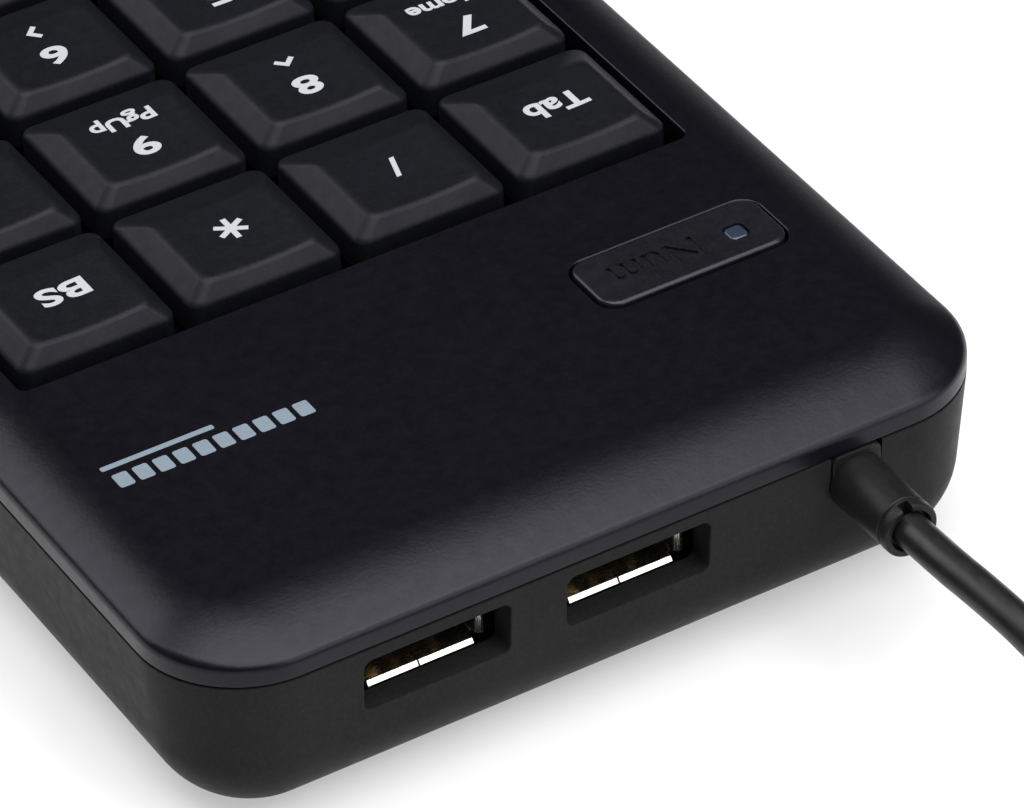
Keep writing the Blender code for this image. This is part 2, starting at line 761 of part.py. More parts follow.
def make_socket(side, port_x, shell_mat, tongue_mat):
    half_x = SHELL_WIDTH / 2
    half_z = SHELL_HEIGHT / 2
    rear_y = SHELL_MOUTH_Y - SHELL_LENGTH
    flare_y = SHELL_MOUTH_Y - 1.0
    sections = [
        (half_x, half_z, rear_y),
        (half_x, half_z, flare_y),
        (half_x + SHELL_FLARE, half_z + SHELL_FLARE, SHELL_MOUTH_Y),
        (half_x + SHELL_FLARE - SHELL_WALL, half_z + SHELL_FLARE - SHELL_WALL, SHELL_MOUTH_Y),
        (half_x - SHELL_WALL, half_z - SHELL_WALL, flare_y),
        (half_x - SHELL_WALL, half_z - SHELL_WALL, rear_y + SHELL_WALL),
    ]
    rings = []
    for width, height, y in sections:
        rings.append(along_y(rounded_outline(width, height, 0.6, 1), y, port_x, SHELL_Z))
    shell = bmesh.new()
    loft(shell, rings)
    add_object("usb_shell_" + side, shell, shell_mat)

    top_z = SHELL_Z + half_z - SHELL_WALL - 0.55
    bottom_z = top_z - TONGUE_HEIGHT
    root_y = rear_y + SHELL_WALL + GAP
    tongue = bmesh.new()
    tongue_half = TONGUE_WIDTH / 2
    outline = rounded_outline(tongue_half, TONGUE_HEIGHT / 2, 0.2, 1)
    centre_z = (top_z + bottom_z) / 2
    tip = rounded_outline(tongue_half - 0.4, TONGUE_HEIGHT / 2 - 0.4, 0.2, 1)
    block = rounded_outline(tongue_half, half_z - SHELL_WALL - GAP, 0.2, 1)
    rings = [
        along_y(block, root_y, port_x, SHELL_Z),
        along_y(block, root_y + 2.0, port_x, SHELL_Z),
        along_y(outline, root_y + 2.0, port_x, centre_z),
        along_y(outline, TONGUE_FRONT_Y - 0.6, port_x, centre_z),
        along_y(tip, TONGUE_FRONT_Y, port_x, centre_z),
    ]
    loft(tongue, rings)
    add_object("usb_tongue_" + side, tongue, tongue_mat)


# ---------------------------------------------------------------- cord and plug


def make_strain_relief(mat):
    """Flange inside the wall, neck in the notch, and a boot that sags a little to its end collar."""
    wall_y = HALF_Y + 0.1
    sections = [
        (4.2, 3.4, 1.2, 70.4, 17.0),
        (4.2, 3.4, 1.2, 73.1, 17.0),
        (2.65, 2.5, 1.6, 73.1, 17.9),
        (2.65, 2.5, 1.6, wall_y, NECK_Z),
        (3.05, 2.75, 2.7, wall_y, NECK_Z),
        (2.95, 2.8, 2.8, 77.5, 17.75),
        (2.7, 2.7, 2.7, 83.2, 17.1),
        (2.4, 2.4, 2.4, 83.6, 17.05),
        (2.4, 2.4, 2.4, 84.3, 17.0),
        (2.82, 2.82, 2.82, 84.5, 16.95),
        (2.82, 2.82, 2.82, 85.7, 16.82),
        (2.6, 2.6, 2.6, BOOT_END_Y, BOOT_END_Z),
    ]
    bm = bmesh.new()
    rings = []
    for half_x, half_z, corner, y, z in sections:
        outline = rounded_outline(half_x, half_z, min(corner, half_x, half_z) * 0.999, 4)
        rings.append(along_y(outline, y, CORD_X, z))
    loft(bm, rings)
    add_object("strain_relief", bm, mat)


def smooth_route(points, steps):
    """Catmull-Rom curve through the route's own points."""
    ends = [points[0]] + list(points) + [points[-1]]
    vectors = [Vector(point) for point in ends]
    vectors[0] = vectors[1] * 2 - vectors[2]
    vectors[-1] = vectors[-2] * 2 - vectors[-3]
    curve = []
    for index in range(1, len(vectors) - 2):
        before, start, end, after = vectors[index - 1 : index + 3]
        for step in range(steps):
            t = step / steps
            point = 2.0 * start + (end - before) * t
            point += (2.0 * before - 5.0 * start + 4.0 * end - after) * t * t
            point += (3.0 * start - before - 3.0 * end + after) * t * t * t
            curve.append(point / 2.0)
    curve.append(vectors[-2])
    return curve


def make_cord(name, route, mat):
    curve = bpy.data.curves.new(name, "CURVE")
    curve.dimensions = "3D"
    curve.bevel_depth = CORD_RADIUS * MM
    curve.bevel_resolution = 2
    curve.use_fill_caps = True
    points = smooth_route(route, 2)
    spline = curve.splines.new("POLY")
    spline.points.add(len(points) - 1)
    for target, point in zip(spline.points, points):
        target.co = (*(point * MM), 1.0)
    curve.materials.append(mat)
    cord = bpy.data.objects.new(name, curve)
    bpy.context.collection.objects.link(cord)
    return cord


def coil_frame():
    """The coil's plane: it rests on the surface at one side and on its tie at the other."""
    axis = Vector((-math.sin(TIE_ANGLE), math.cos(TIE_ANGLE), 0.0))
    tilt = Matrix.Rotation(-COIL_TILT, 4, axis)
    return Matrix.Translation((COIL_X, COIL_Y, COIL_LIFT)) @ tilt


def place_in_coil(bm):
    bmesh.ops.transform(bm, matrix=coil_frame(), verts=bm.verts)


def make_coil(mat):
    """Turned ring of the outer shape of the turns, which lie side by side in two layers."""
    half_width = COIL_ACROSS * CORD_RADIUS
    height = COIL_LAYERS * CORD_DIAMETER
    chamfer = 1.2
    profile = [
        (half_width - chamfer, 0.0),
        (half_width, chamfer),
        (half_width, height - chamfer),
        (half_width - chamfer, height),
        (chamfer - half_width, height),
        (-half_width, height - chamfer),
        (-half_width, chamfer),
        (chamfer - half_width, 0.0),
    ]
    sides = 40
    rings = []
    for index in range(sides):
        angle = math.tau * index / sides
        ring = []
        for offset, z in profile:
            radius = COIL_RADIUS + offset
            ring.append((radius * math.cos(angle), radius * math.sin(angle), z))
        rings.append(ring)
    bm = bmesh.new()
    loft(bm, rings, closed=True)
    place_in_coil(bm)
    add_object("cord_coil", bm, mat)


def make_tie(mat):
    """Flat strap that goes once round the bundle of turns."""
    half_width = COIL_ACROSS * CORD_RADIUS + 0.45
    half_height = COIL_LAYERS * CORD_RADIUS + GAP
    middle = COIL_LAYERS * CORD_RADIUS
    outer = rounded_outline(half_width + TIE_THICKNESS, half_height + TIE_THICKNESS, 2.0, 3)
    inner = rounded_outline(half_width, half_height, 1.1, 3)
    rings = []
    for outline, side in ((outer, -1), (outer, 1), (inner, 1), (inner, -1)):
        rings.append(along_y(outline, side * TIE_WIDTH / 2, COIL_RADIUS - 0.15, middle))
    bm = bmesh.new()
    loft(bm, rings, closed=True)
    bmesh.ops.rotate(bm, matrix=Matrix.Rotation(TIE_ANGLE, 3, "Z"), verts=bm.verts)
    place_in_coil(bm)
    add_object("coil_tie", bm, mat)


def along_plug(outline, distance):
    """Stands an outline across the plug, which points back towards the keypad."""
    return along_y(outline, PLUG_Y - distance, PLUG_X, PLUG_Z)


def make_plug(body_mat, shell_mat, tongue_mat):
    sections = [
        (2.6, 2.6, 2.5, 0.0),
        (2.9, 2.9, 2.8, 7.0),
        (5.6, 3.5, 2.4, 9.0),
        (7.4, 3.9, 2.0, 13.0),
        (7.8, 4.1, 2.0, 20.0),
        (7.8, 4.1, 2.0, PLUG_BODY_LENGTH - 0.6),
        (7.3, 3.6, 1.6, PLUG_BODY_LENGTH),
    ]
    rings = []
    for half_x, half_z, corner, distance in sections:
        rings.append(along_plug(rounded_outline(half_x, half_z, corner, 3), distance))
    body = bmesh.new()
    loft(body, rings)
    add_object("plug_overmould", body, body_mat)

    start = PLUG_BODY_LENGTH + GAP
    end = start + PLUG_SHELL_LENGTH
    outer = rounded_outline(6.0, 2.25, 0.5, 2)
    inner = rounded_outline(5.7, 1.95, 0.3, 2)
    shell = bmesh.new()
    rings = [
        along_plug(outer, start),
        along_plug(outer, end),
        along_plug(inner, end),
        along_plug(inner, start + 0.4),
    ]
    loft(shell, rings)
    add_object("plug_shell", shell, shell_mat)

    tongue = bmesh.new()
    low = (PLUG_X - 5.3, PLUG_Y - end + 0.5, PLUG_Z - 1.6)
    high = (PLUG_X + 5.3, PLUG_Y - start - 0.4 - GAP, PLUG_Z + 0.1)
    add_box(tongue, low, high)
    add_object("plug_tongue", tongue, tongue_mat)


# ---------------------------------------------------------------- feet and screws


def make_feet(mat):
    for name, (x, y) in FEET.items():
        bm = bmesh.new()
        profile = [(FOOT_RADIUS - 0.4, 0.0), (FOOT_RADIUS, 0.4), (FOOT_RADIUS, FOOT_HEIGHT)]
        loft(bm, [at_height(circle_outline(r, 24), z) for r, z in profile])
        add_object("rubber_foot_" + name, bm, mat, (x, y, 0.0))


def make_screws(mat):
    for name, (x, y) in {**CASE_SCREWS, **FRAME_SCREWS}.items():
        head_top = SCREW_HEAD_Z + SCREW_HEAD_HEIGHT
        profile = [
            (SCREW_HEAD_RADIUS - 0.4, SCREW_HEAD_Z),
            (SCREW_HEAD_RADIUS, SCREW_HEAD_Z + 0.5),
            (SCREW_HEAD_RADIUS, head_top),
            (SCREW_RADIUS, head_top),
            (SCREW_RADIUS, SCREW_TOP_Z - 1.0),
            (0.5, SCREW_TOP_Z),
        ]
        bm = bmesh.new()
        loft(bm, [at_height(circle_outline(r, 16), z) for r, z in profile])
        screw = add_object("screw_" + name, bm, mat, (x, y, 0.0))
        for half_x, half_y in ((SLOT_HALF, SLOT_WIDTH / 2), (SLOT_WIDTH / 2, SLOT_HALF)):
            slot = bmesh.new()
            low = (x - half_x, y - half_y, SCREW_HEAD_Z - 1.0)
            add_box(slot, low, (x + half_x, y + half_y, SCREW_HEAD_Z + SLOT_DEPTH))
            add_boolean(screw, f"screw_{name}_slot_{half_x}", slot, "DIFFERENCE")


# ---------------------------------------------------------------- the whole keypad


def build():
    clear_scene()
    shell_black = material("shell_black", (0.012, 0.012, 0.014), 0.5)
    tray_black = material("tray_black", (0.02, 0.02, 0.021), 0.55)
    key_black = material("key_black", (0.014, 0.015, 0.018), 0.5)
    frame_black = material("frame_black", (0.01, 0.01, 0.01), 0.7)
    button_black = material("button_black", (0.012, 0.012, 0.014), 0.4)
    silicone = material("dome_silicone", (0.55, 0.57, 0.58), 0.6)
    foil = material("foil_film", (0.6, 0.68, 0.66), 0.35)
    steel = material("plated_steel", (0.6, 0.6, 0.58), 0.3, 1.0)
    board_green = material("board_green", (0.02, 0.12, 0.05), 0.45)
    chip_black = material("chip_black", (0.015, 0.015, 0.016), 0.5)
    crystal_can = material("crystal_can", (0.7, 0.7, 0.7), 0.25, 1.0)
    lamp = material("lamp_window", (0.05, 0.09, 0.13), 0.25)
    led = material("led_lens", (0.3, 0.5, 0.35), 0.2)
    white_plastic = material("white_plastic", (0.75, 0.74, 0.7), 0.5)
    tongue_black = material("tongue_black", (0.012, 0.012, 0.012), 0.4)
    boot_black = material("boot_black", (0.012, 0.012, 0.012), 0.5)
    cord_black = material("cord_black", (0.015, 0.015, 0.015), 0.45)
    foot_rubber = material("foot_rubber", (0.02, 0.02, 0.02), 0.85)
    screw_steel = material("screw_steel", (0.35, 0.35, 0.36), 0.35, 1.0)

    make_top_cover(shell_black)
    make_bottom_cover(tray_black)
    make_keys(key_black)
    make_key_frame(frame_black)
    make_dome_sheet(silicone)
    make_upper_foil(foil)
    make_layer("membrane_spacer", foil, FOIL_SPACER_Z, FOIL_THICKNESS)
    make_layer("membrane_lower", foil, FOIL_LOWER_Z, FOIL_THICKNESS)
    make_layer("backing_plate", steel, BACKING_Z, BACKING_THICKNESS)
    make_board(board_green)
    make_on_board("hub_chip", chip_black, (6.0, 48.0), (10.0, 7.5, 2.2))
    make_on_board("keypad_controller_chip", chip_black, (-10.0, 47.0), (12.8, 7.5, 2.2))
    make_on_board("crystal", crystal_can, (22.0, 42.0), (10.8, 4.6, 3.5), 2.2)
    make_membrane_connector(white_plastic)
    make_num_switch(chip_black, white_plastic)
    make_num_button(button_black, lamp, led)
    for side, port_x in PORTS.items():
        make_socket(side, port_x, steel, tongue_black)
    make_strain_relief(boot_black)
    make_cord("cord_lead", LEAD_ROUTE, cord_black)
    make_cord("cord_tail", TAIL_ROUTE, cord_black)
    make_coil(cord_black)
    make_tie(boot_black)
    make_plug(boot_black, steel, white_plastic)
    make_feet(foot_rubber)
    make_screws(screw_steel)


build()
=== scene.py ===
"""Looks of a numeric keypad with a two-port USB hub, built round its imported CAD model.

X is the user's right, Y points away from the user, Z is up.  Sizes below are in millimetres, and
each mesh is turned into metres when its object is made.
"""

import math

import bmesh
import bpy
from mathutils import Matrix, Vector


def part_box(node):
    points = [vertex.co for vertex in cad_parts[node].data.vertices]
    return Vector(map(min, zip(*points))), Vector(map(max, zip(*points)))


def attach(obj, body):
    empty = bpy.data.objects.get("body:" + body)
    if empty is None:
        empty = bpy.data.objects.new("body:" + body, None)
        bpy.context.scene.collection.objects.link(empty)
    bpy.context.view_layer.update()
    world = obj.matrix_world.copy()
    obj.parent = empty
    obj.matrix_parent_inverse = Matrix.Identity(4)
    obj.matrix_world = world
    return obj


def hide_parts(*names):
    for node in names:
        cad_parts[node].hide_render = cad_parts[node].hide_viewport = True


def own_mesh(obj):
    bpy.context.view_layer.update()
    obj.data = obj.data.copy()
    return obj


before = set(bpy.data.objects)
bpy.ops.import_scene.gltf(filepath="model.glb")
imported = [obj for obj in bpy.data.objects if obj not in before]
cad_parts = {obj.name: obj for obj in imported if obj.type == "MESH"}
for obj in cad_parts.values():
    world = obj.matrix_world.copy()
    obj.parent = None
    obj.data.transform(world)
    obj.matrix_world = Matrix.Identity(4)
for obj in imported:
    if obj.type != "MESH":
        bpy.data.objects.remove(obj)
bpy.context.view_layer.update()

MM = 0.001
GAP = 0.3


def lowest(node):
    """Lowest corner of a CAD node, in millimetres."""
    return Vector(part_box(node)[0]) / MM


def highest(node):
    return Vector(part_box(node)[1]) / MM


def middle(node):
    return (lowest(node) + highest(node)) / 2


# Housing
HALF_X = highest("top_cover").x
HALF_Y = highest("top_cover").y
PANEL_Z = highest("top_cover").z
UNDERSIDE_Z = lowest("bottom_cover").z
PARTING_LINE = 0.3
PARTING_Z = highest("bottom_cover").z + PARTING_LINE / 2
BROW_Z = PARTING_Z + 2.46
FLOOR_Z = UNDERSIDE_Z + 2.0
CORNER_RADIUS = 11.4
WALL = 2.2
PANEL_THICKNESS = 2.1
RIM_SIDE = 6.4
RIM_END = 9.2
RIM_CURVE = 1.7
BROW_SHARE = 0.13
BROW_DROP = 0.8
SIDE_DRAFT = 0.09
END_DRAFT = 0.08
BOTTOM_RADIUS = 9.0
LIP_INSET = 2.8
LIP_THICKNESS = 1.0
LIP_BOTTOM_Z = 19.3
LIP_GAP_LEFT_X = -33.0
LIP_GAP_RIGHT_X = 31.0
CORNER_STEPS = 16
EDGE = 0.12
ROOT_DEPTH = 0.8

# Key well
WELL_HALF_X = 38.33
WELL_REAR_Y = 28.77
WELL_FRONT_Y = -68.48
WELL_CORNER = 1.0
WELL_EDGE = 0.22
WELL_WALL = 1.2
WELL_BOTTOM_Z = 18.7

# Keys
KEY_NODES = [n for n in sorted(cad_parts) if n.startswith("key_") and n != "key_frame"]
KEY_HALF = (highest("key_5").x - lowest("key_5").x) / 2
FACET_Z = PANEL_Z + 0.26
KEY_RISE = 2.0
KEY_DISH = 0.36
KEY_CORNER = 1.5
TOP_CORNER = 1.1
TOP_INSET_SIDE = 2.29
TOP_INSET_REAR = 1.23
TOP_INSET_FRONT = 4.84
KEY_WALL = 1.2
KEY_CEILING = 0.4
SKIRT_DEPTH = 3.6
STEM_RADIUS = 2.45
GUIDE_BOTTOM_Z = 19.0
PITCH = 19.0
EDGE_SOFTNESS = 0.2
PRINT_HEIGHT = 0.02
PRINT_DEPTH = 0.08

# Num button and its lamp
NUM = middle("num_button")
NUM_FLANGE = 1.0
NUM_HALF_X = (highest("num_button").x - lowest("num_button").x) / 2 - NUM_FLANGE
NUM_HALF_Y = (highest("num_button").y - lowest("num_button").y) / 2 - NUM_FLANGE
NUM_CORNER = 2.0
NUM_TOP_Z = highest("num_button").z
NUM_FLANGE_TOP_Z = 22.3
NUM_FLANGE_BOTTOM_Z = 21.3
NUM_EDGE = 0.5
NUM_STEM_RADIUS = 1.6
NUM_NAME_MIDDLE = (-23.95, 45.45)
NUM_NAME_HEIGHT = 3.5
ENGRAVING_DEPTH = 0.28
ENGRAVING_CHAMFER = 0.09
LAMP = middle("num_light_pipe")
LAMP_SIZE = 2.1

# USB sockets
PORT_X = {side: middle("usb_shell_" + side).x for side in ("right", "left")}
PORT_Z = 15.8
PORT_HALF_X = 8.05
PORT_HALF_Z = 3.2
PORT_CORNER = 1.0
PORT_EDGE = 0.16
PORT_COLLAR = 1.1
PORT_COLLAR_Y = 72.55
SHELL_Z = middle("usb_shell_right").z
SHELL_MOUTH_Y = highest("usb_shell_right").y
SHELL_REAR_Y = lowest("usb_shell_right").y
SHELL_HALF_X = 6.55
SHELL_HALF_Z = 2.85
SHELL_WALL = 0.35
SHELL_CORNER = 0.7
LIP_LENGTH = 1.0
LIP_FLARE = 0.5
SPRING_TABS_X = (-3.3, 2.6)
TONGUE_HALF_Z = 0.92
CONTACTS_X = (-3.5, -1.0, 1.0, 3.5)

# Cord exit
CORD_X = middle("strain_relief").x
BOOT_END_Y = highest("strain_relief").y
BOOT_END_Z = 16.8
NOTCH_HALF_X = 2.95
NOTCH_BOTTOM_Z = 15.0

# Cord, coil and plug
CORD_RADIUS = 1.9
CORD_DIAMETER = 2 * CORD_RADIUS
COIL_X = -2.7
COIL_Y = 168.0
COIL_RADIUS = 21.0
COIL_ACROSS = 3
COIL_LAYERS = 2
COIL_LIFT = 0.92
COIL_TILT = math.radians(1.7)
COIL_STEP = 15
TIE_ANGLE = math.radians(-45.0)
PLUG_X = 36.0
PLUG_Y = 160.0
PLUG_Z = 4.2
PLUG_BODY_LENGTH = 32.0
PLUG_SHELL_LENGTH = 12.0
PLUG_SHELL_START = PLUG_BODY_LENGTH + GAP
PLUG_SHELL_END = PLUG_SHELL_START + PLUG_SHELL_LENGTH

LEAD_ROUTE = [
    (-27.5, 85.0, 16.8),
    (-27.7, 92.0, 16.8),
    (-28.05, 96.5, 16.7),
    (-28.5, 103.0, 16.3),
    (-29.0, 110.0, 14.8),
    (-29.2, 118.0, 11.9),
    (-29.0, 126.0, 8.4),
    (-28.5, 134.0, 5.2),
    (-28.0, 142.0, 3.0),
    (-27.5, 152.6, 2.1),
    (-27.4, 160.4, 2.3),
]
TAIL_ROUTE = [
    (4.9, 192.9, 6.3),
    (12.3, 192.6, 5.4),
    (18.0, 192.0, 4.2),
    (24.0, 189.6, 3.0),
    (29.2, 185.4, 2.2),
    (33.0, 179.8, 2.0),
    (35.2, 173.2, 2.4),
    (35.9, 166.6, 3.4),
    (36.0, 160.3, 4.2),
]

# Feet and screws
FOOT_NAMES = ("rear_left", "rear_right", "front_left", "front_right")
FOOT_RADIUS = 4.5
FOOT_HEIGHT = 1.7
FOOT_RECESS_TOP_Z = 2.0
SCREW_HEAD_Z = 1.7
SCREW_HEAD_RADIUS = 2.6
SCREW_HEAD_TOP_Z = 3.3
SCREW_RADIUS = 1.2
SCREW_TOP_Z = 12.0
COUNTERBORE_RADIUS = 3.0
COUNTERBORE_TOP_Z = 3.6
PILLAR_RADIUS = 4.5
PILLAR_TOP_Z = 5.0
POST_RADIUS = 2.7
POST_BOTTOM_Z = 5.3
POST_BORE_TOP_Z = 14.0
BACKING_Z = 10.1
BOARD_Z = 10.7
CASE_SCREWS = ("rear_left", "rear_right")
FLOOR_RIBS_Y = (-60.0, -29.0, 2.0, 26.0)
BOARD_POSTS = ((-20.0, 50.0), (0.0, 40.0), (20.0, 50.0))

# Camera
VIEW_AZIMUTH = 150.02
VIEW_ELEVATION = 37.95
VIEW_ROLL = -2.21
VIEW_DISTANCE = 686.2
VIEW_TARGET = Vector((-0.25, 56.98, 25.5))
LENS = 250.2


# ---------------------------------------------------------------- camera


def add_object(name, data):
    obj = bpy.data.objects.new(name, data)
    bpy.context.scene.collection.objects.link(obj)
    return obj


def make_camera():
    azimuth = math.radians(VIEW_AZIMUTH)
    elevation = math.radians(VIEW_ELEVATION)
    roll = math.radians(VIEW_ROLL)
    back = Vector(
        (
            math.sin(azimuth) * math.cos(elevation),
            -math.cos(azimuth) * math.cos(elevation),
            math.sin(elevation),
        )
    )
    level = Vector((0.0, 0.0, 1.0)).cross(back).normalized()
    upward = back.cross(level)
    right = level * math.cos(roll) + upward * math.sin(roll)
    up = upward * math.cos(roll) - level * math.sin(roll)
    data = bpy.data.cameras.new("camera")
    data.lens = LENS
    data.sensor_width = 36.0
    data.clip_start = 0.01
    data.clip_end = 20.0
    camera = add_object("camera", data)
    turn = Matrix((right, up, back)).transposed().to_4x4()
    camera.matrix_world = Matrix.Translation((VIEW_TARGET + back * VIEW_DISTANCE) * MM) @ turn
    bpy.context.scene.camera = camera


# ---------------------------------------------------------------- shapes


def rounded_outline(half_x, half_y, radius, steps=CORNER_STEPS, centre=(0.0, 0.0)):
    """Corner arcs of a rounded rectangle, counterclockwise from the +X +Y corner."""
    points = []
    corners = [(1, 1, 0), (-1, 1, 90), (-1, -1, 180), (1, -1, 270)]
    for side_x, side_y, start in corners:
        for step in range(steps + 1):
            angle = math.radians(start + 90.0 * step / steps)
            x = side_x * (half_x - radius) + radius * math.cos(angle)
            y = side_y * (half_y - radius) + radius * math.sin(angle)
            points.append((centre[0] + x, centre[1] + y))
    return points


def circle_outline(radius, sides, centre=(0.0, 0.0), start=0.0):
    points = []
    for index in range(sides):
        angle = start + math.tau * index / sides
        points.append((centre[0] + radius * math.cos(angle), centre[1] + radius * math.sin(angle)))
    return points


def at_height(outline, z):
    return [(x, y, z) for x, y in outline]


def along_y(outline, y, centre_x, centre_z):
    """Stands an outline up across the Y axis."""
    return [(centre_x + a, y, centre_z + b) for a, b in outline]


def blend_rings(first, second, share):
    return [Vector(a).lerp(Vector(b), share) for a, b in zip(first, second)]


def curved_rings(start, bend, end, steps):
    """Rings of a quadratic curve from one ring to another, drawn towards the ring at the bend."""
    rings = []
    for step in range(steps + 1):
        share = step / steps
        first = blend_rings(start, bend, share)
        rings.append(blend_rings(first, blend_rings(bend, end, share), share))
    return rings


def loft(bm, rings, cap_ends=True, closed=False):
    """Skins a list of rings that have the same number of points, and caps the first and last."""
    loops = [[bm.verts.new(point) for point in ring] for ring in rings]
    count = len(loops[0])
    pairs = list(zip(loops, loops[1:]))
    if closed:
        pairs.append((loops[-1], loops[0]))
    for lower, upper in pairs:
        for index in range(count):
            after = (index + 1) % count
            bm.faces.new((lower[index], lower[after], upper[after], upper[index]))
    if cap_ends and not closed:
        bm.faces.new(list(reversed(loops[0])))
        bm.faces.new(loops[-1])
    return loops


def lofted(rings, **ends):
    bm = bmesh.new()
    loft(bm, rings, **ends)
    return bm


def add_prism(bm, outline, bottom, top):
    loft(bm, [at_height(outline, bottom), at_height(outline, top)])


def add_box(bm, low, high):
    outline = [(high[0], high[1]), (low[0], high[1]), (low[0], low[1]), (high[0], low[1])]
    add_prism(bm, outline, low[2], high[2])


def add_bar(bm, x, z, half_x, half_z, front, rear):
    """Box along Y, from front to rear, round the line at x and z."""
    add_box(bm, (x - half_x, front, z - half_z), (x + half_x, rear, z + half_z))


def strip_section(x, half, y, low, high):
    """Four points across a strip that runs along Y."""
    return [(x - half, y, low), (x + half, y, low), (x + half, y, high), (x - half, y, high)]


def add_column(bm, centre, radius, bottom, top, sides=32):
    add_prism(bm, circle_outline(radius, sides, centre, math.pi / sides), bottom, top)


def add_turned(bm, profile, centre=(0.0, 0.0), sides=48):
    """Turned shape round a vertical axis from (radius, z) pairs."""
    loft(bm, [at_height(circle_outline(radius, sides, centre), z) for radius, z in profile])


def rounded_profile(points, radii, steps=5):
    """Rounds the inner corners of a (distance, height) profile, one radius for each of them."""
    profile = [Vector(points[0])]
    for index, radius in enumerate(radii):
        before, corner, after = (Vector(p) for p in points[index : index + 3])
        start = corner + (before - corner).normalized() * radius
        end = corner + (after - corner).normalized() * radius
        for step in range(steps + 1):
            share = step / steps
            profile.append(start.lerp(corner, share).lerp(corner.lerp(end, share), share))
    profile.append(Vector(points[-1]))
    return profile


def join(bm, other):
    """Adds another mesh to this one and frees it."""
    mesh = bpy.data.meshes.new("joined")
    other.to_mesh(mesh)
    other.free()
    bm.from_mesh(mesh)
    bpy.data.meshes.remove(mesh)


def loose_object(name, bm):
    bmesh.ops.recalc_face_normals(bm, faces=bm.faces)
    mesh = bpy.data.meshes.new(name)
    bm.to_mesh(mesh)
    bm.free()
    return add_object(name, mesh)


def evaluated_bmesh(obj):
    """The object's finished mesh as a new bmesh; the object itself is removed."""
    graph = bpy.context.evaluated_depsgraph_get()
    mesh = bpy.data.meshes.new_from_object(obj.evaluated_get(graph))
    bm = bmesh.new()
    bm.from_mesh(mesh)
    bpy.data.objects.remove(obj, do_unlink=True)
    bpy.data.meshes.remove(mesh)
    return bm


def carve(bm, tool, operation="DIFFERENCE"):
    """The first mesh with the second cut away from it, or joined to it by UNION."""
    base = loose_object("carve_base", bm)
    cutter = loose_object("carve_tool", tool)
    modifier = base.modifiers.new("carve", "BOOLEAN")
    modifier.operation = operation
    modifier.solver = "EXACT"
    modifier.object = cutter
    result = evaluated_bmesh(base)
    bpy.data.objects.remove(cutter, do_unlink=True)
    bmesh.ops.remove_doubles(result, verts=result.verts, dist=1e-4)
    return result


def lipped_hole(outline_at, bottom, surface, radius, steps=5):
    """Cutter for a hole whose upper edge is rounded; outline_at gives the outline for a growth."""
    rings = [at_height(outline_at(0.0), bottom)]
    for step in range(steps + 1):
        angle = math.radians(80.0 * step / steps)
        grow = radius * (1.0 - math.cos(angle))
        rings.append(at_height(outline_at(grow), surface - radius * (1.0 - math.sin(angle))))
    rings.append(at_height(outline_at(radius * 1.6), surface + 0.1))
    rings.append(at_height(outline_at(radius * 1.6), surface + 2.0))
    bm = lofted(rings)
    return bm


# ---------------------------------------------------------------- objects


def soft_edge_marks(mesh):
    """Stores how strongly the surface bends at each point, for the polish and the painted highlight on
    rounded edges.
    """
    bend = [0.0] * len(mesh.vertices)
    faces_of = {}
    for face in mesh.polygons:
        for key in face.edge_keys:
            faces_of.setdefault(key, []).append(face.normal)
    for (first, second), normals in faces_of.items():
        if len(normals) == 2:
            angle = math.degrees(normals[0].angle(normals[1], 0.0))
            if angle < 32.0:
                bend[first] = max(bend[first], angle)
                bend[second] = max(bend[second], angle)
    marks = mesh.attributes.new("edge_wear_highlight_mask", "FLOAT", "POINT")
    marks.data.foreach_set("value", [min(max((a - 6.0) / 8.0, 0.0), 1.0) for a in bend])


def piece(name, bm, look, body="housing", nodes=(), sharp=32.0):
    """Makes a shown piece of a mesh in millimetres, which rides on a body and stands for nodes.

    Its colour comes from the material listed under its look.
    """
    bmesh.ops.recalc_face_normals(bm, faces=bm.faces)
    bmesh.ops.scale(bm, vec=(MM, MM, MM), verts=bm.verts)
    mesh = bpy.data.meshes.new(name)
    bm.to_mesh(mesh)
    bm.free()
    mesh.materials.append(LOOKS[look])
    mesh.shade_smooth()
    mesh.set_sharp_from_angle(angle=math.radians(sharp))
    soft_edge_marks(mesh)
    obj = add_object(name, mesh)
    normals = obj.modifiers.new("normals", "WEIGHTED_NORMAL")
    normals.keep_sharp = True
    normals.weight = 50
    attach(obj, body)
    if nodes:
        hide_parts(*nodes)
    return obj


# ---------------------------------------------------------------- materials


def begin(name, level=0.5, metallic=0.0):
    """New material, with its node tree and its shader."""
    mat = bpy.data.materials.new(name)
    mat.use_nodes = True
    shader = mat.node_tree.nodes["Principled BSDF"]
    shader.inputs["Specular IOR Level"].default_value = level
    shader.inputs["Metallic"].default_value = metallic
    return mat, mat.node_tree, shader


def fill(tree, node, inputs):
    """Gives a node's inputs their values, or links where a value is another node's socket."""
    for socket, value in inputs.items():
        if isinstance(value, bpy.types.NodeSocket):
            tree.links.new(value, node.inputs[socket])
        else:
            node.inputs[socket].default_value = value


def add_node(tree, kind, inputs):
    node = tree.nodes.new("ShaderNode" + kind)
    fill(tree, node, inputs)
    return node


def object_space(tree, stretch=(1.0, 1.0, 1.0)):
    """The point in the object's own space, stretched so that a pattern gets longer or finer."""
    place = tree.nodes.new("ShaderNodeTexCoord").outputs["Object"]
    return add_node(tree, "Mapping", {"Vector": place, "Scale": stretch}).outputs["Vector"]


def noise(tree, scale, detail=2.0, stretch=(1.0, 1.0, 1.0)):
    inputs = {"Vector": object_space(tree, stretch), "Scale": scale, "Detail": detail}
    return add_node(tree, "TexNoise", inputs).outputs[0]


def cells(tree, scale, output="Distance"):
    inputs = {"Vector": object_space(tree), "Scale": scale}
    return add_node(tree, "TexVoronoi", inputs).outputs[output]


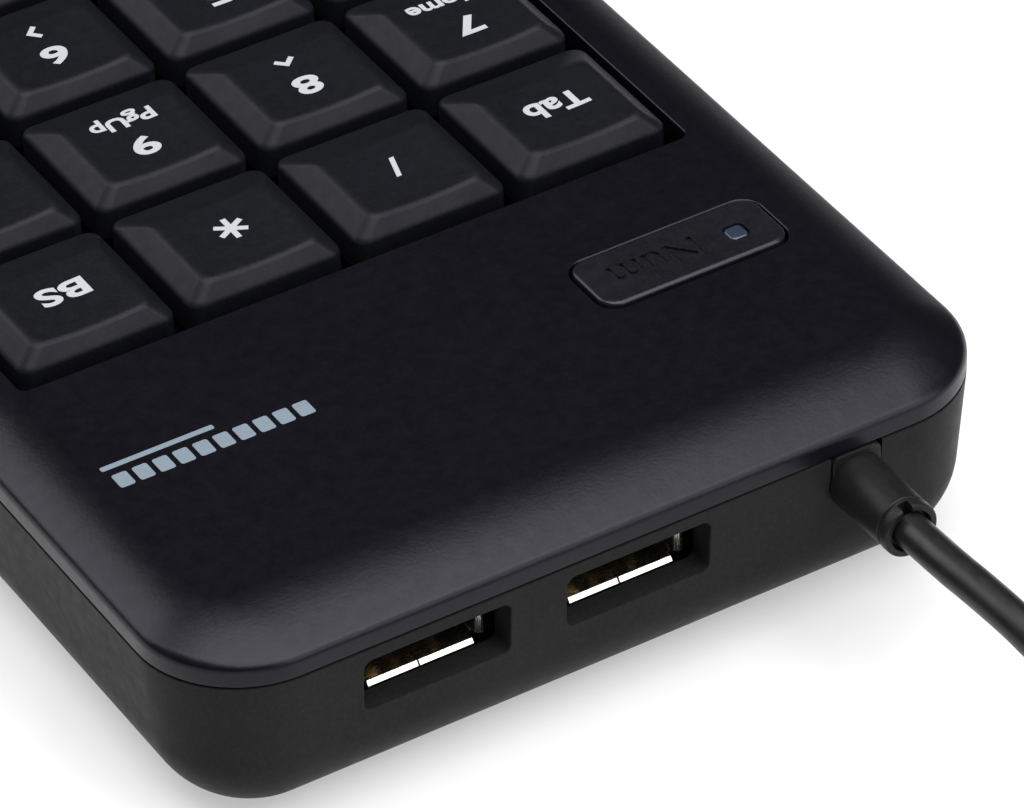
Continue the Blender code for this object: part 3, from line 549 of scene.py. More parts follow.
def bands(tree, scale, direction):
    node = add_node(tree, "TexWave", {"Vector": object_space(tree), "Scale": scale})
    node.bands_direction = direction
    return node.outputs["Fac"]


def spread(tree, value, low, high, start=0.3, end=0.7):
    """Maps the pattern's range from start to end onto low to high."""
    inputs = {"Value": value, "From Min": start, "From Max": end, "To Min": low, "To Max": high}
    return add_node(tree, "MapRange", inputs).outputs["Result"]


def combine(tree, operation, first, second):
    node = add_node(tree, "Math", {0: first, 1: second})
    node.operation = operation
    return node.outputs[0]


def tint(tree, share, first, second):
    """Colour between two others; each is a tuple or another node's colour."""
    node = tree.nodes.new("ShaderNodeMix")
    node.data_type = "RGBA"
    ends = [(*end, 1.0) if isinstance(end, tuple) else end for end in (first, second)]
    fill(tree, node, {0: share, 6: ends[0], 7: ends[1]})
    return node.outputs[2]


def scaled(colour, factor):
    return tuple(channel * factor for channel in colour)


def mottled(tree, pattern, colour, low, high):
    """The colour times a factor that goes from low to high with the pattern."""
    return tint(tree, spread(tree, pattern, 0.0, 1.0), scaled(colour, low), scaled(colour, high))


def cover(tree, shader, colour, roughness, relief=()):
    """Links the colour and roughness, and stacks height patterns, each with its depth in mm."""
    fill(tree, shader, {"Base Color": colour, "Roughness": roughness})
    below = {}
    for height, depth in relief:
        inputs = {"Height": height, "Strength": 1.0, "Distance": depth * MM}
        below = {"Normal": add_node(tree, "Bump", {**inputs, **below}).outputs["Normal"]}
    fill(tree, shader, below)


def moulded(
    name, colour, rough, level=0.5, grain=2600.0, depth=0.01, gloss=0.05, tone=0.2, wear_and_highlight=0.0, cool=0.0
):
    """Moulded plastic or rubber: spark-eroded grain, uneven gloss, edges polished by handling and
    lightened in colour as a painted highlight.
    """
    mat, tree, shader = begin(name, level)
    shader.inputs["Specular Tint"].default_value = (1.0 - cool, 1.0 - cool * 1.2, 1.0, 1.0)
    patches = noise(tree, 700.0, 3.0)
    fine = noise(tree, grain, 3.0)
    shade = mottled(tree, noise(tree, 70.0, 3.0), colour, 1 - tone, 1 + tone)
    shade = tint(tree, spread(tree, fine, 0.0, 0.5, 0.45, 0.75), shade, scaled(colour, 1.7))
    roughness = spread(tree, patches, rough - gloss, rough + gloss)
    if wear_and_highlight:
        mark = tree.nodes.new("ShaderNodeAttribute")
        mark.attribute_name = "edge_wear_highlight_mask"
        worn_and_highlit = combine(tree, "MULTIPLY", mark.outputs["Fac"], spread(tree, patches, 0.4, 1.0))
        # painted highlight: the colour is lightened on rounded edges; the roughness drop below is the
        # real polish from handling
        shade = tint(tree, combine(tree, "MULTIPLY", worn_and_highlit, 0.5), shade, scaled(colour, 1.9))
        polish = combine(tree, "MULTIPLY", worn_and_highlit, wear_and_highlight)
        roughness = combine(tree, "SUBTRACT", roughness, polish)
    cover(tree, shader, shade, roughness, [(fine, depth), (patches, depth * 0.8)])
    return mat


def plated(name, colour, rough, stretch, tone=0.15):
    """Plated or brushed metal with fine scratches along one direction and dull spots."""
    mat, tree, shader = begin(name, 0.5, 1.0)
    scratches = noise(tree, 1500.0, 4.0, stretch)
    dull = noise(tree, 260.0, 3.0)
    shade = mottled(tree, dull, colour, 1 - tone, 1.0)
    roughness = spread(tree, scratches, rough - 0.06, rough + 0.1)
    cover(tree, shader, shade, roughness, [(scratches, 0.0008), (dull, 0.001)])
    return mat


def printed(name, colour, rough=0.45):
    """Printing ink: dense, with pinholes and a slightly uneven film."""
    mat, tree, shader = begin(name, 0.4)
    pinholes = noise(tree, 6000.0)
    film = noise(tree, 900.0)
    shade = tint(tree, spread(tree, pinholes, 0.25, 0.0, 0.3, 0.45), colour, scaled(colour, 0.6))
    cover(tree, shader, shade, spread(tree, film, rough - 0.05, rough + 0.08), [(film, 0.004)])
    return mat


def circuit_board(name):
    """Solder mask over copper tracks, which run in patches along X or Y, with tinned pads."""
    mat, tree, shader = begin(name)
    choice = spread(tree, cells(tree, 140.0, "Color"), 0.0, 1.0, 0.49, 0.51)
    along = spread(tree, bands(tree, 260.0, "X"), 0.0, 1.0, 0.5, 0.6)
    across = spread(tree, bands(tree, 260.0, "Y"), 0.0, 1.0, 0.5, 0.6)
    first = combine(tree, "MULTIPLY", along, choice)
    second = combine(tree, "MULTIPLY", across, combine(tree, "SUBTRACT", 1.0, choice))
    tracks = combine(tree, "ADD", first, second)
    pads = spread(tree, cells(tree, 330.0), 1.0, 0.0, 0.2, 0.24)
    green = tint(tree, tracks, (0.008, 0.07, 0.028), (0.02, 0.16, 0.06))
    shade = tint(tree, pads, green, (0.62, 0.62, 0.58))
    roughness = spread(tree, noise(tree, 900.0), 0.32, 0.45)
    cover(tree, shader, shade, roughness, [(tracks, 0.03), (pads, 0.02)])
    return mat


def clear_sheet(name, colour, ink):
    """Polyester film with printed silver tracks."""
    mat, tree, shader = begin(name)
    shader.inputs["Transmission Weight"].default_value = 0.35
    tracks = spread(tree, bands(tree, 90.0, "DIAGONAL"), 0.0, 1.0, 0.86, 0.9)
    film = noise(tree, 200.0)
    shade = tint(tree, tracks, mottled(tree, film, colour, 0.9, 1.0), ink)
    cover(tree, shader, shade, spread(tree, film, 0.2, 0.35), [(film, 0.03), (tracks, 0.01)])
    return mat


def silicone(name, colour):
    """Milky rubber with a dusty surface."""
    mat, tree, shader = begin(name, 0.45)
    shader.inputs["Subsurface Weight"].default_value = 0.3
    shader.inputs["Subsurface Radius"].default_value = (0.002, 0.002, 0.002)
    cloud = noise(tree, 160.0, 3.0)
    dust = noise(tree, 4000.0)
    shade = mottled(tree, cloud, colour, 0.85, 1.1)
    cover(tree, shader, shade, spread(tree, dust, 0.5, 0.65), [(dust, 0.006), (cloud, 0.02)])
    return mat


def lens(name, colour, rough):
    """Tinted clear plastic with faint flow marks."""
    mat, tree, shader = begin(name)
    shader.inputs["Coat Weight"].default_value = 0.3
    flow = noise(tree, 500.0, 2.0, (1.0, 3.0, 1.0))
    shade = mottled(tree, flow, colour, 0.8, 1.15)
    cover(tree, shader, shade, spread(tree, flow, rough - 0.04, rough + 0.06), [(flow, 0.004)])
    return mat


LOOKS = {
    "upper_shell": moulded(
        "upper_shell", (0.0022, 0.0021, 0.0034), 0.32, 0.23, 2600, 0.014, 0.03, 0.1, cool=0.12
    ),
    "lower_tray": moulded("lower_tray", (0.0135, 0.0132, 0.0132), 0.42, 0.035, 2400, 0.006, 0.04, 0.1),
    "keycap": moulded(
        "keycap", (0.0039, 0.0042, 0.0055), 0.44, 0.15, 2600, 0.012, 0.04, 0.1, wear_and_highlight=0.04, cool=0.1
    ),
    "key_frame": moulded("key_frame", (0.004, 0.004, 0.004), 0.6, 0.3, 1500, 0.01),
    "num_button": moulded(
        "num_button", (0.0055, 0.0053, 0.0072), 0.32, 0.3, 3000, 0.006, wear_and_highlight=0.08, cool=0.1
    ),
    "lamp_window": lens("lamp_window", (0.0135, 0.0225, 0.037), 0.3),
    "led_lens": lens("led_lens", (0.3, 0.5, 0.35), 0.2),
    "silicone": silicone("dome_silicone", (0.55, 0.57, 0.58)),
    "foil": clear_sheet("foil_film", (0.6, 0.68, 0.66), (0.55, 0.56, 0.56)),
    "inner_steel": plated("inner_steel", (0.6, 0.6, 0.58), 0.34, (1.0, 30.0, 1.0)),
    "circuit_board": circuit_board("circuit_board"),
    "chip": moulded("chip", (0.014, 0.014, 0.015), 0.5, 0.4, 5000, 0.006),
    "crystal_can": plated("crystal_can", (0.7, 0.7, 0.7), 0.22, (20.0, 1.0, 1.0)),
    "white_plastic": moulded("white_plastic", (0.7, 0.69, 0.65), 0.48, 0.45, 1800, 0.006, 0.05, 0.05),
    "socket_metal": plated("socket_metal", (0.8, 0.765, 0.7), 0.2, (1.0, 12.0, 1.0), 0.2),
    "socket_tongue": moulded("socket_tongue", (0.008, 0.008, 0.008), 0.4, 0.4, 2000, 0.006),
    "contact_gold": plated("contact_gold", (0.85, 0.6, 0.25), 0.22, (1.0, 10.0, 1.0), 0.2),
    "boot": moulded("boot", (0.0058, 0.0058, 0.0062), 0.44, 0.17, 2000, 0.02, 0.06, 0.25, wear_and_highlight=0.1),
    "cord": moulded("cord", (0.0075, 0.0072, 0.007), 0.36, 0.3, 1600, 0.004, 0.05, 0.15),
    "plug_body": moulded("plug_body", (0.009, 0.009, 0.009), 0.42, 0.5, 2200, 0.01, wear_and_highlight=0.12),
    "foot_rubber": moulded("foot_rubber", (0.02, 0.02, 0.02), 0.8, 0.3, 1500, 0.02),
    "screw_steel": plated("screw_steel", (0.3, 0.3, 0.31), 0.34, (6.0, 6.0, 1.0)),
    "legend_print": printed("legend_print", (0.34, 0.355, 0.375)),
    "panel_print": printed("panel_print", (0.14, 0.175, 0.21)),
}


# ---------------------------------------------------------------- cord


def smooth_route(points, steps):
    """Catmull-Rom curve through the route's own points."""
    route = [Vector(point) for point in points]
    route = [route[0] * 2 - route[1], *route, route[-1] * 2 - route[-2]]
    curve = []
    for before, start, end, after in zip(route, route[1:], route[2:], route[3:]):
        for step in range(steps):
            t = step / steps
            point = 2.0 * start + (end - before) * t
            point += (2.0 * before - 5.0 * start + 4.0 * end - after) * t * t
            point += (3.0 * start - before - 3.0 * end + after) * t * t * t
            curve.append(point / 2.0)
    curve.append(route[-2])
    return curve


def coil_frame():
    """The coil's plane: it rests on the surface at one side and on its tie at the other."""
    axis = Vector((-math.sin(TIE_ANGLE), math.cos(TIE_ANGLE), 0.0))
    tilt = Matrix.Rotation(-COIL_TILT, 4, axis)
    return Matrix.Translation((COIL_X, COIL_Y, COIL_LIFT)) @ tilt


def coil_turns():
    """Six turns: inwards across the lower layer, then outwards across the upper one."""
    radii = [COIL_RADIUS + step * CORD_DIAMETER for step in (1, 0, -1, -1, 0, 1)]
    heights = [CORD_RADIUS] * COIL_ACROSS + [CORD_RADIUS + CORD_DIAMETER] * COIL_ACROSS
    first_change = 316
    change = 30
    between = 326
    total = 1890
    points = []
    for travel in range(0, total + 1, COIL_STEP):
        cell = 0.0
        for turn in range(len(radii) - 1):
            share = (travel - first_change - between * turn) / change
            share = min(max(share, 0.0), 1.0)
            cell += share * share * (3.0 - 2.0 * share)
        index = min(int(cell), len(radii) - 2)
        radius = radii[index] + (radii[index + 1] - radii[index]) * (cell - index)
        height = heights[index] + (heights[index + 1] - heights[index]) * (cell - index)
        angle = math.radians(180 - travel)
        point = Vector((radius * math.cos(angle), radius * math.sin(angle), height))
        points.append(coil_frame() @ point)
    return points


def make_cord():
    points = smooth_route(LEAD_ROUTE + coil_turns() + TAIL_ROUTE, 4)
    length = sum((b - a).length for a, b in zip(points, points[1:]))
    curve = bpy.data.curves.new("cord", "CURVE")
    curve.dimensions = "3D"
    curve.bevel_depth = CORD_RADIUS * MM
    curve.bevel_resolution = 7
    curve.use_fill_caps = True
    spline = curve.splines.new("POLY")
    spline.points.add(len(points) - 1)
    for target, point in zip(spline.points, points):
        target.co = (*(point * MM), 1.0)
    spline.use_smooth = True
    curve.materials.append(LOOKS["cord"])
    cord = add_object("cord", curve)
    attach(cord, "housing")
    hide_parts("cord_lead", "cord_coil", "cord_tail")
    return cord, length


def make_boot():
    """Flange inside the wall, square block that fills the notch, and a round boot with a collar."""
    face_y = HALF_Y + 0.1
    block_z = (NOTCH_BOTTOM_Z + PARTING_Z) / 2
    half_z = (PARTING_Z - NOTCH_BOTTOM_Z) / 2 - 0.15
    sections = [
        (4.2, 3.4, 1.2, 70.4, 17.0),
        (4.2, 3.4, 1.2, 73.1, 17.0),
        (2.78, half_z, 0.9, 73.1, block_z),
        (2.78, half_z, 0.9, face_y - 0.2, block_z),
        (2.72, half_z - 0.06, 0.84, face_y - 0.06, block_z),
        (2.58, half_z - 0.2, 0.7, face_y, block_z),
    ]
    rings = []
    for half_x, height, radius, y, z in sections:
        rings.append(along_y(rounded_outline(half_x, height, radius, 8), y, CORD_X, z))
    bm = lofted(rings)

    start = face_y - 0.12
    end = BOOT_END_Y - 0.5
    profile = rounded_profile(
        [
            (start, 2.5),
            (start, 3.12),
            (end - 1.6, 3.0),
            (end - 1.5, 2.75),
            (end - 1.25, 2.75),
            (end - 1.15, 3.04),
            (end, 3.0),
            (end, 2.3),
            (end - 0.9, 2.1),
        ],
        (0.2, 0.12, 0.06, 0.06, 0.1, 0.28, 0.08),
        4,
    )
    rings = []
    for y, radius in profile:
        rings.append(along_y(circle_outline(radius, 64), y, CORD_X, BOOT_END_Z))
    bm = carve(bm, lofted(rings), "UNION")
    slit = bmesh.new()
    low = (CORD_X - 0.1, end - 1.2, BOOT_END_Z + 0.6)
    add_box(slit, low, (CORD_X + 1.0, BOOT_END_Y + 1.0, BOOT_END_Z + 5.0))
    bm = carve(bm, slit)
    return piece("cord_boot", bm, "boot", nodes=("strain_relief",))


# ---------------------------------------------------------------- housing


def shell_ring(inset_x, inset_y, z):
    radius = max(CORNER_RADIUS - (inset_x + inset_y) / 2, 1.0)
    return at_height(rounded_outline(HALF_X - inset_x, HALF_Y - inset_y, radius), z)


def rim_height(share):
    """Height of the sloped rim, a share of the way from the outer edge to the flat panel."""
    return PANEL_Z - (PANEL_Z - BROW_Z) * (1.0 - share) ** RIM_CURVE


def rim_ring(share, z):
    return shell_ring(RIM_SIDE * share, RIM_END * share, z)


def upper_shell_rings():
    """Rings from the flat panel out over the rim and the brow, down to the edge, and back inside."""
    rings = []
    rim_steps = 26
    for step in range(rim_steps + 1):
        share = 1.0 - (1.0 - BROW_SHARE) * step / rim_steps
        rings.append(rim_ring(share, rim_height(share)))
    slope = (rim_height(BROW_SHARE + 0.01) - rim_height(BROW_SHARE)) / 0.01
    bend = rim_ring(0.0, rim_height(BROW_SHARE) - slope * BROW_SHARE)
    wall_top = rim_ring(0.0, BROW_Z - BROW_DROP)
    rings += curved_rings(rings[-1], bend, wall_top, 10)[1:]
    edge_z = PARTING_Z + PARTING_LINE / 2
    rings.append(shell_ring(0.0, 0.0, edge_z + EDGE))
    rings.append(shell_ring(EDGE * 0.3, EDGE * 0.3, edge_z + EDGE * 0.3))
    rings.append(shell_ring(EDGE, EDGE, edge_z))
    inner = LIP_INSET + LIP_THICKNESS
    ceiling = PANEL_Z - PANEL_THICKNESS
    for inset, z in (
        (LIP_INSET, edge_z),
        (LIP_INSET, LIP_BOTTOM_Z),
        (inner, LIP_BOTTOM_Z),
        (inner, 21.4),
        (7.0, ceiling - 0.4),
        (10.0, ceiling),
    ):
        rings.append(shell_ring(inset, inset, z))
    return rings


def well_outline(grow):
    centre = (0.0, (WELL_REAR_Y + WELL_FRONT_Y) / 2)
    half_y = (WELL_REAR_Y - WELL_FRONT_Y) / 2
    return rounded_outline(WELL_HALF_X + grow, half_y + grow, WELL_CORNER + grow, 8, centre)


def button_outline(grow):
    half_x = NUM_HALF_X + GAP + grow
    half_y = NUM_HALF_Y + GAP + grow
    return rounded_outline(half_x, half_y, NUM_CORNER + GAP + grow, 10, (NUM.x, NUM.y))


def screw_place(name):
    return (middle("screw_" + name).x, middle("screw_" + name).y)


def make_top_cover():
    bm = lofted(upper_shell_rings())

    added = bmesh.new()
    add_prism(added, well_outline(WELL_WALL), WELL_BOTTOM_Z, PANEL_Z - 1.0)
    for name in CASE_SCREWS:
        add_column(added, screw_place(name), POST_RADIUS, POST_BOTTOM_Z, PANEL_Z - 1.0)
    bm = carve(bm, added, "UNION")

    taken = lipped_hole(well_outline, WELL_BOTTOM_Z - 1.0, PANEL_Z, WELL_EDGE)
    join(taken, lipped_hole(button_outline, PANEL_Z - PANEL_THICKNESS - 1.0, PANEL_Z, 0.22))
    for name in CASE_SCREWS:
        place = screw_place(name)
        add_column(taken, place, SCREW_RADIUS + GAP, POST_BOTTOM_Z - 1.0, POST_BORE_TOP_Z)
    low = (LIP_GAP_LEFT_X, HALF_Y - 6.0, LIP_BOTTOM_Z - 1.0)
    high = (LIP_GAP_RIGHT_X, HALF_Y - LIP_INSET + 0.2, PARTING_Z + PARTING_LINE / 2)
    add_box(taken, low, high)
    bm = carve(bm, taken)
    piece("upper_cover", bm, "upper_shell", nodes=("top_cover",))


def tray_ring(depth, inset, z):
    """Ring of the lower tray at a depth under the parting line, drawn in by an extra inset."""
    return shell_ring(SIDE_DRAFT * depth + inset, END_DRAFT * depth + inset, z)


def tray_profile(inset, floor_z, radius, arc_steps):
    """Rings from the flat of the floor up round the bottom radius to the parting line."""
    rings = []
    for step in range(arc_steps + 1):
        angle = math.radians(90.0 * (1.0 - step / arc_steps))
        z = floor_z + radius * (1.0 - math.sin(angle))
        depth = PARTING_Z - z
        rings.append(tray_ring(depth, inset + radius * (1.0 - math.cos(angle)), z))
    return rings


def rear_wall_y(z):
    return HALF_Y - END_DRAFT * (PARTING_Z - z)


def port_cutter(centre_x):
    """Cutter for a socket's opening, whose edge is rounded where it meets the sloping rear wall."""
    rings = []

    def ring(grow, y, follows_wall):
        half_x = PORT_HALF_X + grow
        half_z = PORT_HALF_Z + grow
        outline = rounded_outline(half_x, half_z, PORT_CORNER + grow, 8)
        points = along_y(outline, y, centre_x, PORT_Z)
        if follows_wall:
            points = [(x, rear_wall_y(z) + y, z) for x, y, z in points]
        rings.append(points)

    ring(0.0, PORT_COLLAR_Y - 1.0, False)
    for step in range(6):
        angle = math.radians(80.0 * step / 5)
        grow = PORT_EDGE * (1.0 - math.cos(angle))
        ring(grow, -PORT_EDGE * (1.0 - math.sin(angle)), True)
    ring(PORT_EDGE * 1.8, 0.12, True)
    ring(PORT_EDGE * 1.8, 2.0, True)
    bm = lofted(rings)
    return bm


def make_bottom_cover():
    outer = tray_profile(0.0, UNDERSIDE_Z, BOTTOM_RADIUS, 18)
    edge_z = PARTING_Z - PARTING_LINE / 2
    outer.append(tray_ring(PARTING_LINE / 2 + EDGE, 0.0, edge_z - EDGE))
    outer.append(tray_ring(PARTING_LINE / 2, EDGE * 0.3, edge_z - EDGE * 0.3))
    outer.append(tray_ring(PARTING_LINE / 2, EDGE, edge_z))
    inner = tray_profile(WALL, FLOOR_Z, BOTTOM_RADIUS - WALL, 6)
    inner.append(tray_ring(0.0, WALL, edge_z))
    bm = lofted(outer + list(reversed(inner)))

    added = bmesh.new()
    for port_x in PORT_X.values():
        half_x = PORT_HALF_X + PORT_COLLAR
        half_z = PORT_HALF_Z + PORT_COLLAR
        low = (port_x - half_x, PORT_COLLAR_Y, PORT_Z - half_z)
        add_box(added, low, (port_x + half_x, HALF_Y - 1.4, PORT_Z + half_z))
    screws = [screw_place(name) for name in FOOT_NAMES]
    for place in screws:
        add_column(added, place, PILLAR_RADIUS, FLOOR_Z - ROOT_DEPTH, PILLAR_TOP_Z)
    for rib_y in FLOOR_RIBS_Y:
        low = (-34.0, rib_y - 0.6, FLOOR_Z - ROOT_DEPTH)
        add_box(added, low, (34.0, rib_y + 0.6, BACKING_Z - GAP))
    for place in BOARD_POSTS:
        add_column(added, place, 2.5, FLOOR_Z - ROOT_DEPTH, BOARD_Z - GAP)
    bm = carve(bm, added, "UNION")

    taken = bmesh.new()
    for port_x in PORT_X.values():
        join(taken, port_cutter(port_x))
    notch_z = (NOTCH_BOTTOM_Z + PARTING_Z + 3.0) / 2
    notch = rounded_outline(NOTCH_HALF_X, notch_z - NOTCH_BOTTOM_Z, 1.8, 8)
    loft(taken, [along_y(notch, y, CORD_X, notch_z) for y in (HALF_Y - 6.0, HALF_Y + 1.0)])
    for place in screws:
        hole = [
            (COUNTERBORE_RADIUS + 0.4, UNDERSIDE_Z - 0.2),
            (COUNTERBORE_RADIUS, UNDERSIDE_Z + 0.2),
            (COUNTERBORE_RADIUS, COUNTERBORE_TOP_Z),
            (SCREW_RADIUS + GAP, COUNTERBORE_TOP_Z),
            (SCREW_RADIUS + GAP, PILLAR_TOP_Z + 1.0),
        ]
        add_turned(taken, hole, place)
    for name in FOOT_NAMES:
        foot = middle("rubber_foot_" + name)
        recess = [
            (FOOT_RADIUS + GAP + 0.4, UNDERSIDE_Z - 0.2),
            (FOOT_RADIUS + GAP, UNDERSIDE_Z + 0.2),
            (FOOT_RADIUS + GAP, FOOT_RECESS_TOP_Z),
        ]
        add_turned(taken, recess, (foot.x, foot.y))
    bm = carve(bm, taken)
    piece("lower_cover", bm, "lower_tray", nodes=("bottom_cover",))


# ---------------------------------------------------------------- keys

CAP_CORNER_STEPS = 6
CAP_DISH_POINTS = 11
CAP_POINTS = 4 * (CAP_CORNER_STEPS + 1) + 2 * CAP_DISH_POINTS


def cap_ring(half_x, front, rear, corner, height):
    """Points round a keycap, with extra ones along the front and rear where the top is dished."""
    points = []
    inner = half_x - corner
    rows = [(1, rear - corner, 0, 1), (-1, rear - corner, 90, 0)]
    rows += [(-1, front + corner, 180, 1), (1, front + corner, 270, 0)]
    for side, centre_y, start, has_run in rows:
        for step in range(CAP_CORNER_STEPS + 1):
            angle = math.radians(start + 90.0 * step / CAP_CORNER_STEPS)
            x = side * inner + corner * math.cos(angle)
            points.append((x, centre_y + corner * math.sin(angle)))
        if has_run:
            edge_y = rear if side > 0 else front
            for step in range(1, CAP_DISH_POINTS + 1):
                share = step / (CAP_DISH_POINTS + 1)
                points.append((side * inner * (1.0 - 2.0 * share), edge_y))
    return [(x, y, height(x)) for x, y in points]


def stem_ring(aspect, z):
    """Circle of as many points as a keycap's ring, started at the same corner."""
    start = math.atan2(aspect, 1.0)
    return at_height(circle_outline(STEM_RADIUS, CAP_POINTS, start=start), z)


def dished(x):
    """Height of a key's top, hollowed from side to side, over its shoulder."""
    return KEY_RISE - KEY_DISH * (1.0 - (x / (KEY_HALF - TOP_INSET_SIDE)) ** 2)


def keycap_mesh(rows):
    """One closed skin: stem, ceiling, inner wall, skirt, facets with soft edges, and dished top."""
    half_x = KEY_HALF
    half_y = KEY_HALF + (rows - 1) * PITCH / 2
    hollow = half_x - KEY_WALL
    hollow_y = half_y - KEY_WALL
    top_x = half_x - TOP_INSET_SIDE
    top_front = TOP_INSET_FRONT - half_y
    top_rear = half_y - TOP_INSET_REAR

    def straight(z):
        return lambda x: z

    shoulder = cap_ring(half_x, -half_y, half_y, KEY_CORNER, straight(0.0))
    crest = cap_ring(top_x, top_front, top_rear, TOP_CORNER, dished)
    below = cap_ring(half_x, -half_y, half_y, KEY_CORNER, straight(-0.35))
    soft = 0.6
    flat_x = top_x - soft
    flat = cap_ring(flat_x, top_front + soft, top_rear - soft, TOP_CORNER - 0.3, dished)
    rings = [
        stem_ring(half_y / half_x, -8.5),
        stem_ring(half_y / half_x, KEY_CEILING),
        cap_ring(hollow - 0.5, 1.0 - hollow_y, hollow_y - 0.3, 0.6, straight(KEY_CEILING)),
        cap_ring(hollow, -hollow_y, hollow_y, 0.8, straight(-0.8)),
        cap_ring(hollow, -hollow_y, hollow_y, 0.8, straight(-SKIRT_DEPTH)),
        cap_ring(half_x - 0.2, 0.2 - half_y, half_y - 0.2, KEY_CORNER - 0.2, straight(-SKIRT_DEPTH)),
        cap_ring(half_x, -half_y, half_y, KEY_CORNER, straight(-SKIRT_DEPTH + 0.2)),
    ]
    facet_low = blend_rings(shoulder, crest, EDGE_SOFTNESS)
    facet_high = blend_rings(shoulder, crest, 1.0 - EDGE_SOFTNESS)
    rings += curved_rings(below, shoulder, facet_low, 4)
    rings += curved_rings(facet_high, crest, flat, 5)
    bm = bmesh.new()
    loops = loft(bm, rings, cap_ends=False)
    bm.faces.new(list(reversed(loops[0])))
    top = loops[-1]
    for index in range(CAP_POINTS // 2 - 1):
        after = index + 1
        bm.faces.new((top[index], top[after], top[-1 - after], top[-1 - index]))
    return bm


def key_rows(node):
    size = highest(node) - lowest(node)
    return 1 + round((size.y - size.x) / PITCH)


def make_keys():
    for node in KEY_NODES:
        centre = middle(node)
        rows = key_rows(node)
        bm = keycap_mesh(rows)
        if rows > 1:
            guides = bmesh.new()
            for side in (-1, 1):
                place = (0.0, side * PITCH / 2)
                bottom = GUIDE_BOTTOM_Z - FACET_Z
                add_column(guides, place, STEM_RADIUS, bottom, KEY_CEILING + 0.4)
            bm = carve(bm, guides, "UNION")
        bmesh.ops.translate(bm, vec=(centre.x, centre.y, FACET_Z), verts=bm.verts)
        name = node.replace("key_", "keycap_")
        piece(name, bm, "keycap", node + "_body", (node,))


# ---------------------------------------------------------------- rubber domes

DOME_SHEET_THICKNESS = 0.6
DOME_BASE_RADIUS = 4.4
DOME_TOP_RADIUS = 2.6
DOME_WALL = 0.7
DOME_FOOT_Z = lowest("rubber_dome_sheet").z + DOME_SHEET_THICKNESS


def make_dome_sheet():
    """The CAD sheet cut off just under its flat top, which leaves a hole under each dome."""
    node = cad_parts["rubber_dome_sheet"]
    bm = bmesh.new()
    bm.from_mesh(node.data)
    bm.transform(node.matrix_world)
    bmesh.ops.scale(bm, vec=(1 / MM, 1 / MM, 1 / MM), verts=bm.verts)
    top = Vector((0.0, 0.0, DOME_FOOT_Z - GAP))
    geom = bm.verts[:] + bm.edges[:] + bm.faces[:]
    cut = bmesh.ops.bisect_plane(bm, geom=geom, plane_co=top, plane_no=(0, 0, 1), clear_outer=True)
    edges = [item for item in cut["geom_cut"] if isinstance(item, bmesh.types.BMEdge)]
    bmesh.ops.triangle_fill(bm, edges=edges, use_beauty=True)
    piece("dome_sheet", bm, "silicone", nodes=("rubber_dome_sheet",))


def make_domes():
    """One hollow dome under each key."""
    top = highest("rubber_dome_sheet").z
    centre_hole = 0.3
    for node in KEY_NODES:
        place = middle(node)
        profile = [
            (centre_hole, top - DOME_WALL),
            (DOME_TOP_RADIUS - DOME_WALL, top - DOME_WALL),
            (DOME_BASE_RADIUS - DOME_WALL, DOME_FOOT_Z),
            (DOME_BASE_RADIUS, DOME_FOOT_Z),
            (DOME_TOP_RADIUS, top - 0.3),
            (DOME_TOP_RADIUS - 0.3, top),
            (centre_hole, top),
        ]
        bm = bmesh.new()
        add_turned(bm, profile, (place.x, place.y), 32)
        dome = piece(node.replace("key_", "dome_"), bm, "silicone")
        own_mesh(dome)


# ---------------------------------------------------------------- legends


def text_mesh(text, weight, spacing=1.0):
    """Solid letters of one em, in Blender's own font, made bolder by the weight."""
    curve = bpy.data.curves.new("letters", "FONT")
    curve.body = text
    curve.size = 1.0
    curve.extrude = 0.1
    curve.offset = weight
    curve.space_character = spacing
    curve.resolution_u = 8
    bm = evaluated_bmesh(add_object("letters", curve))
    bpy.data.curves.remove(curve)
    bmesh.ops.remove_doubles(bm, verts=bm.verts, dist=1e-5)
    return bm


def extent(bm):
    xs = [vert.co.x for vert in bm.verts]
    ys = [vert.co.y for vert in bm.verts]
    return min(xs), max(xs), min(ys), max(ys)


def placed_text(text, weight, height, place, squeeze=1.0, spacing=1.0, like="H"):
    """Letters with their middle at a place, scaled until those in like have the height."""
    measured = text_mesh(like, weight)
    _, _, low, high = extent(measured)
    measured.free()
    scale = height / (high - low)
    bm = text_mesh(text, weight, spacing)
    left, right, _, _ = extent(bm)
    for vert in bm.verts:
        vert.co.x = (vert.co.x - (left + right) / 2) * scale * squeeze + place[0]
        vert.co.y = (vert.co.y - (low + high) / 2) * scale + place[1]
    return bm


def stroke_mesh(points, width):
    """Bent stroke of one width, with square ends."""
    line = [Vector(point) for point in points]
    runs = [(end - start).normalized() for start, end in zip(line, line[1:])]
    left = []
    right = []
    for point, before, after in zip(line, [runs[0], *runs], [*runs, runs[-1]]):
        along = (before + after).normalized()
        side = Vector((-along.y, along.x))
        reach = width / 2 / max(side.dot(Vector((-after.y, after.x))), 0.3)
        left.append(point + side * reach)
        right.append(point - side * reach)
    outline = [(p.x, p.y) for p in right + list(reversed(left))]
    bm = bmesh.new()
    add_prism(bm, outline, -0.1, 0.1)
    return bm


def lay_on_key(bm):
    """Cuts letters into narrow strips and bends them onto a key's dished top."""
    half = int(KEY_HALF)
    for x in range(-half, half + 1):
        geometry = bm.verts[:] + bm.edges[:] + bm.faces[:]
        bmesh.ops.bisect_plane(bm, geom=geometry, plane_co=(x, 0, 0), plane_no=(1, 0, 0))
    for vert in bm.verts:
        lift = PRINT_HEIGHT if vert.co.z > 0 else -PRINT_DEPTH
        vert.co.z = dished(vert.co.x) + lift
    return bm


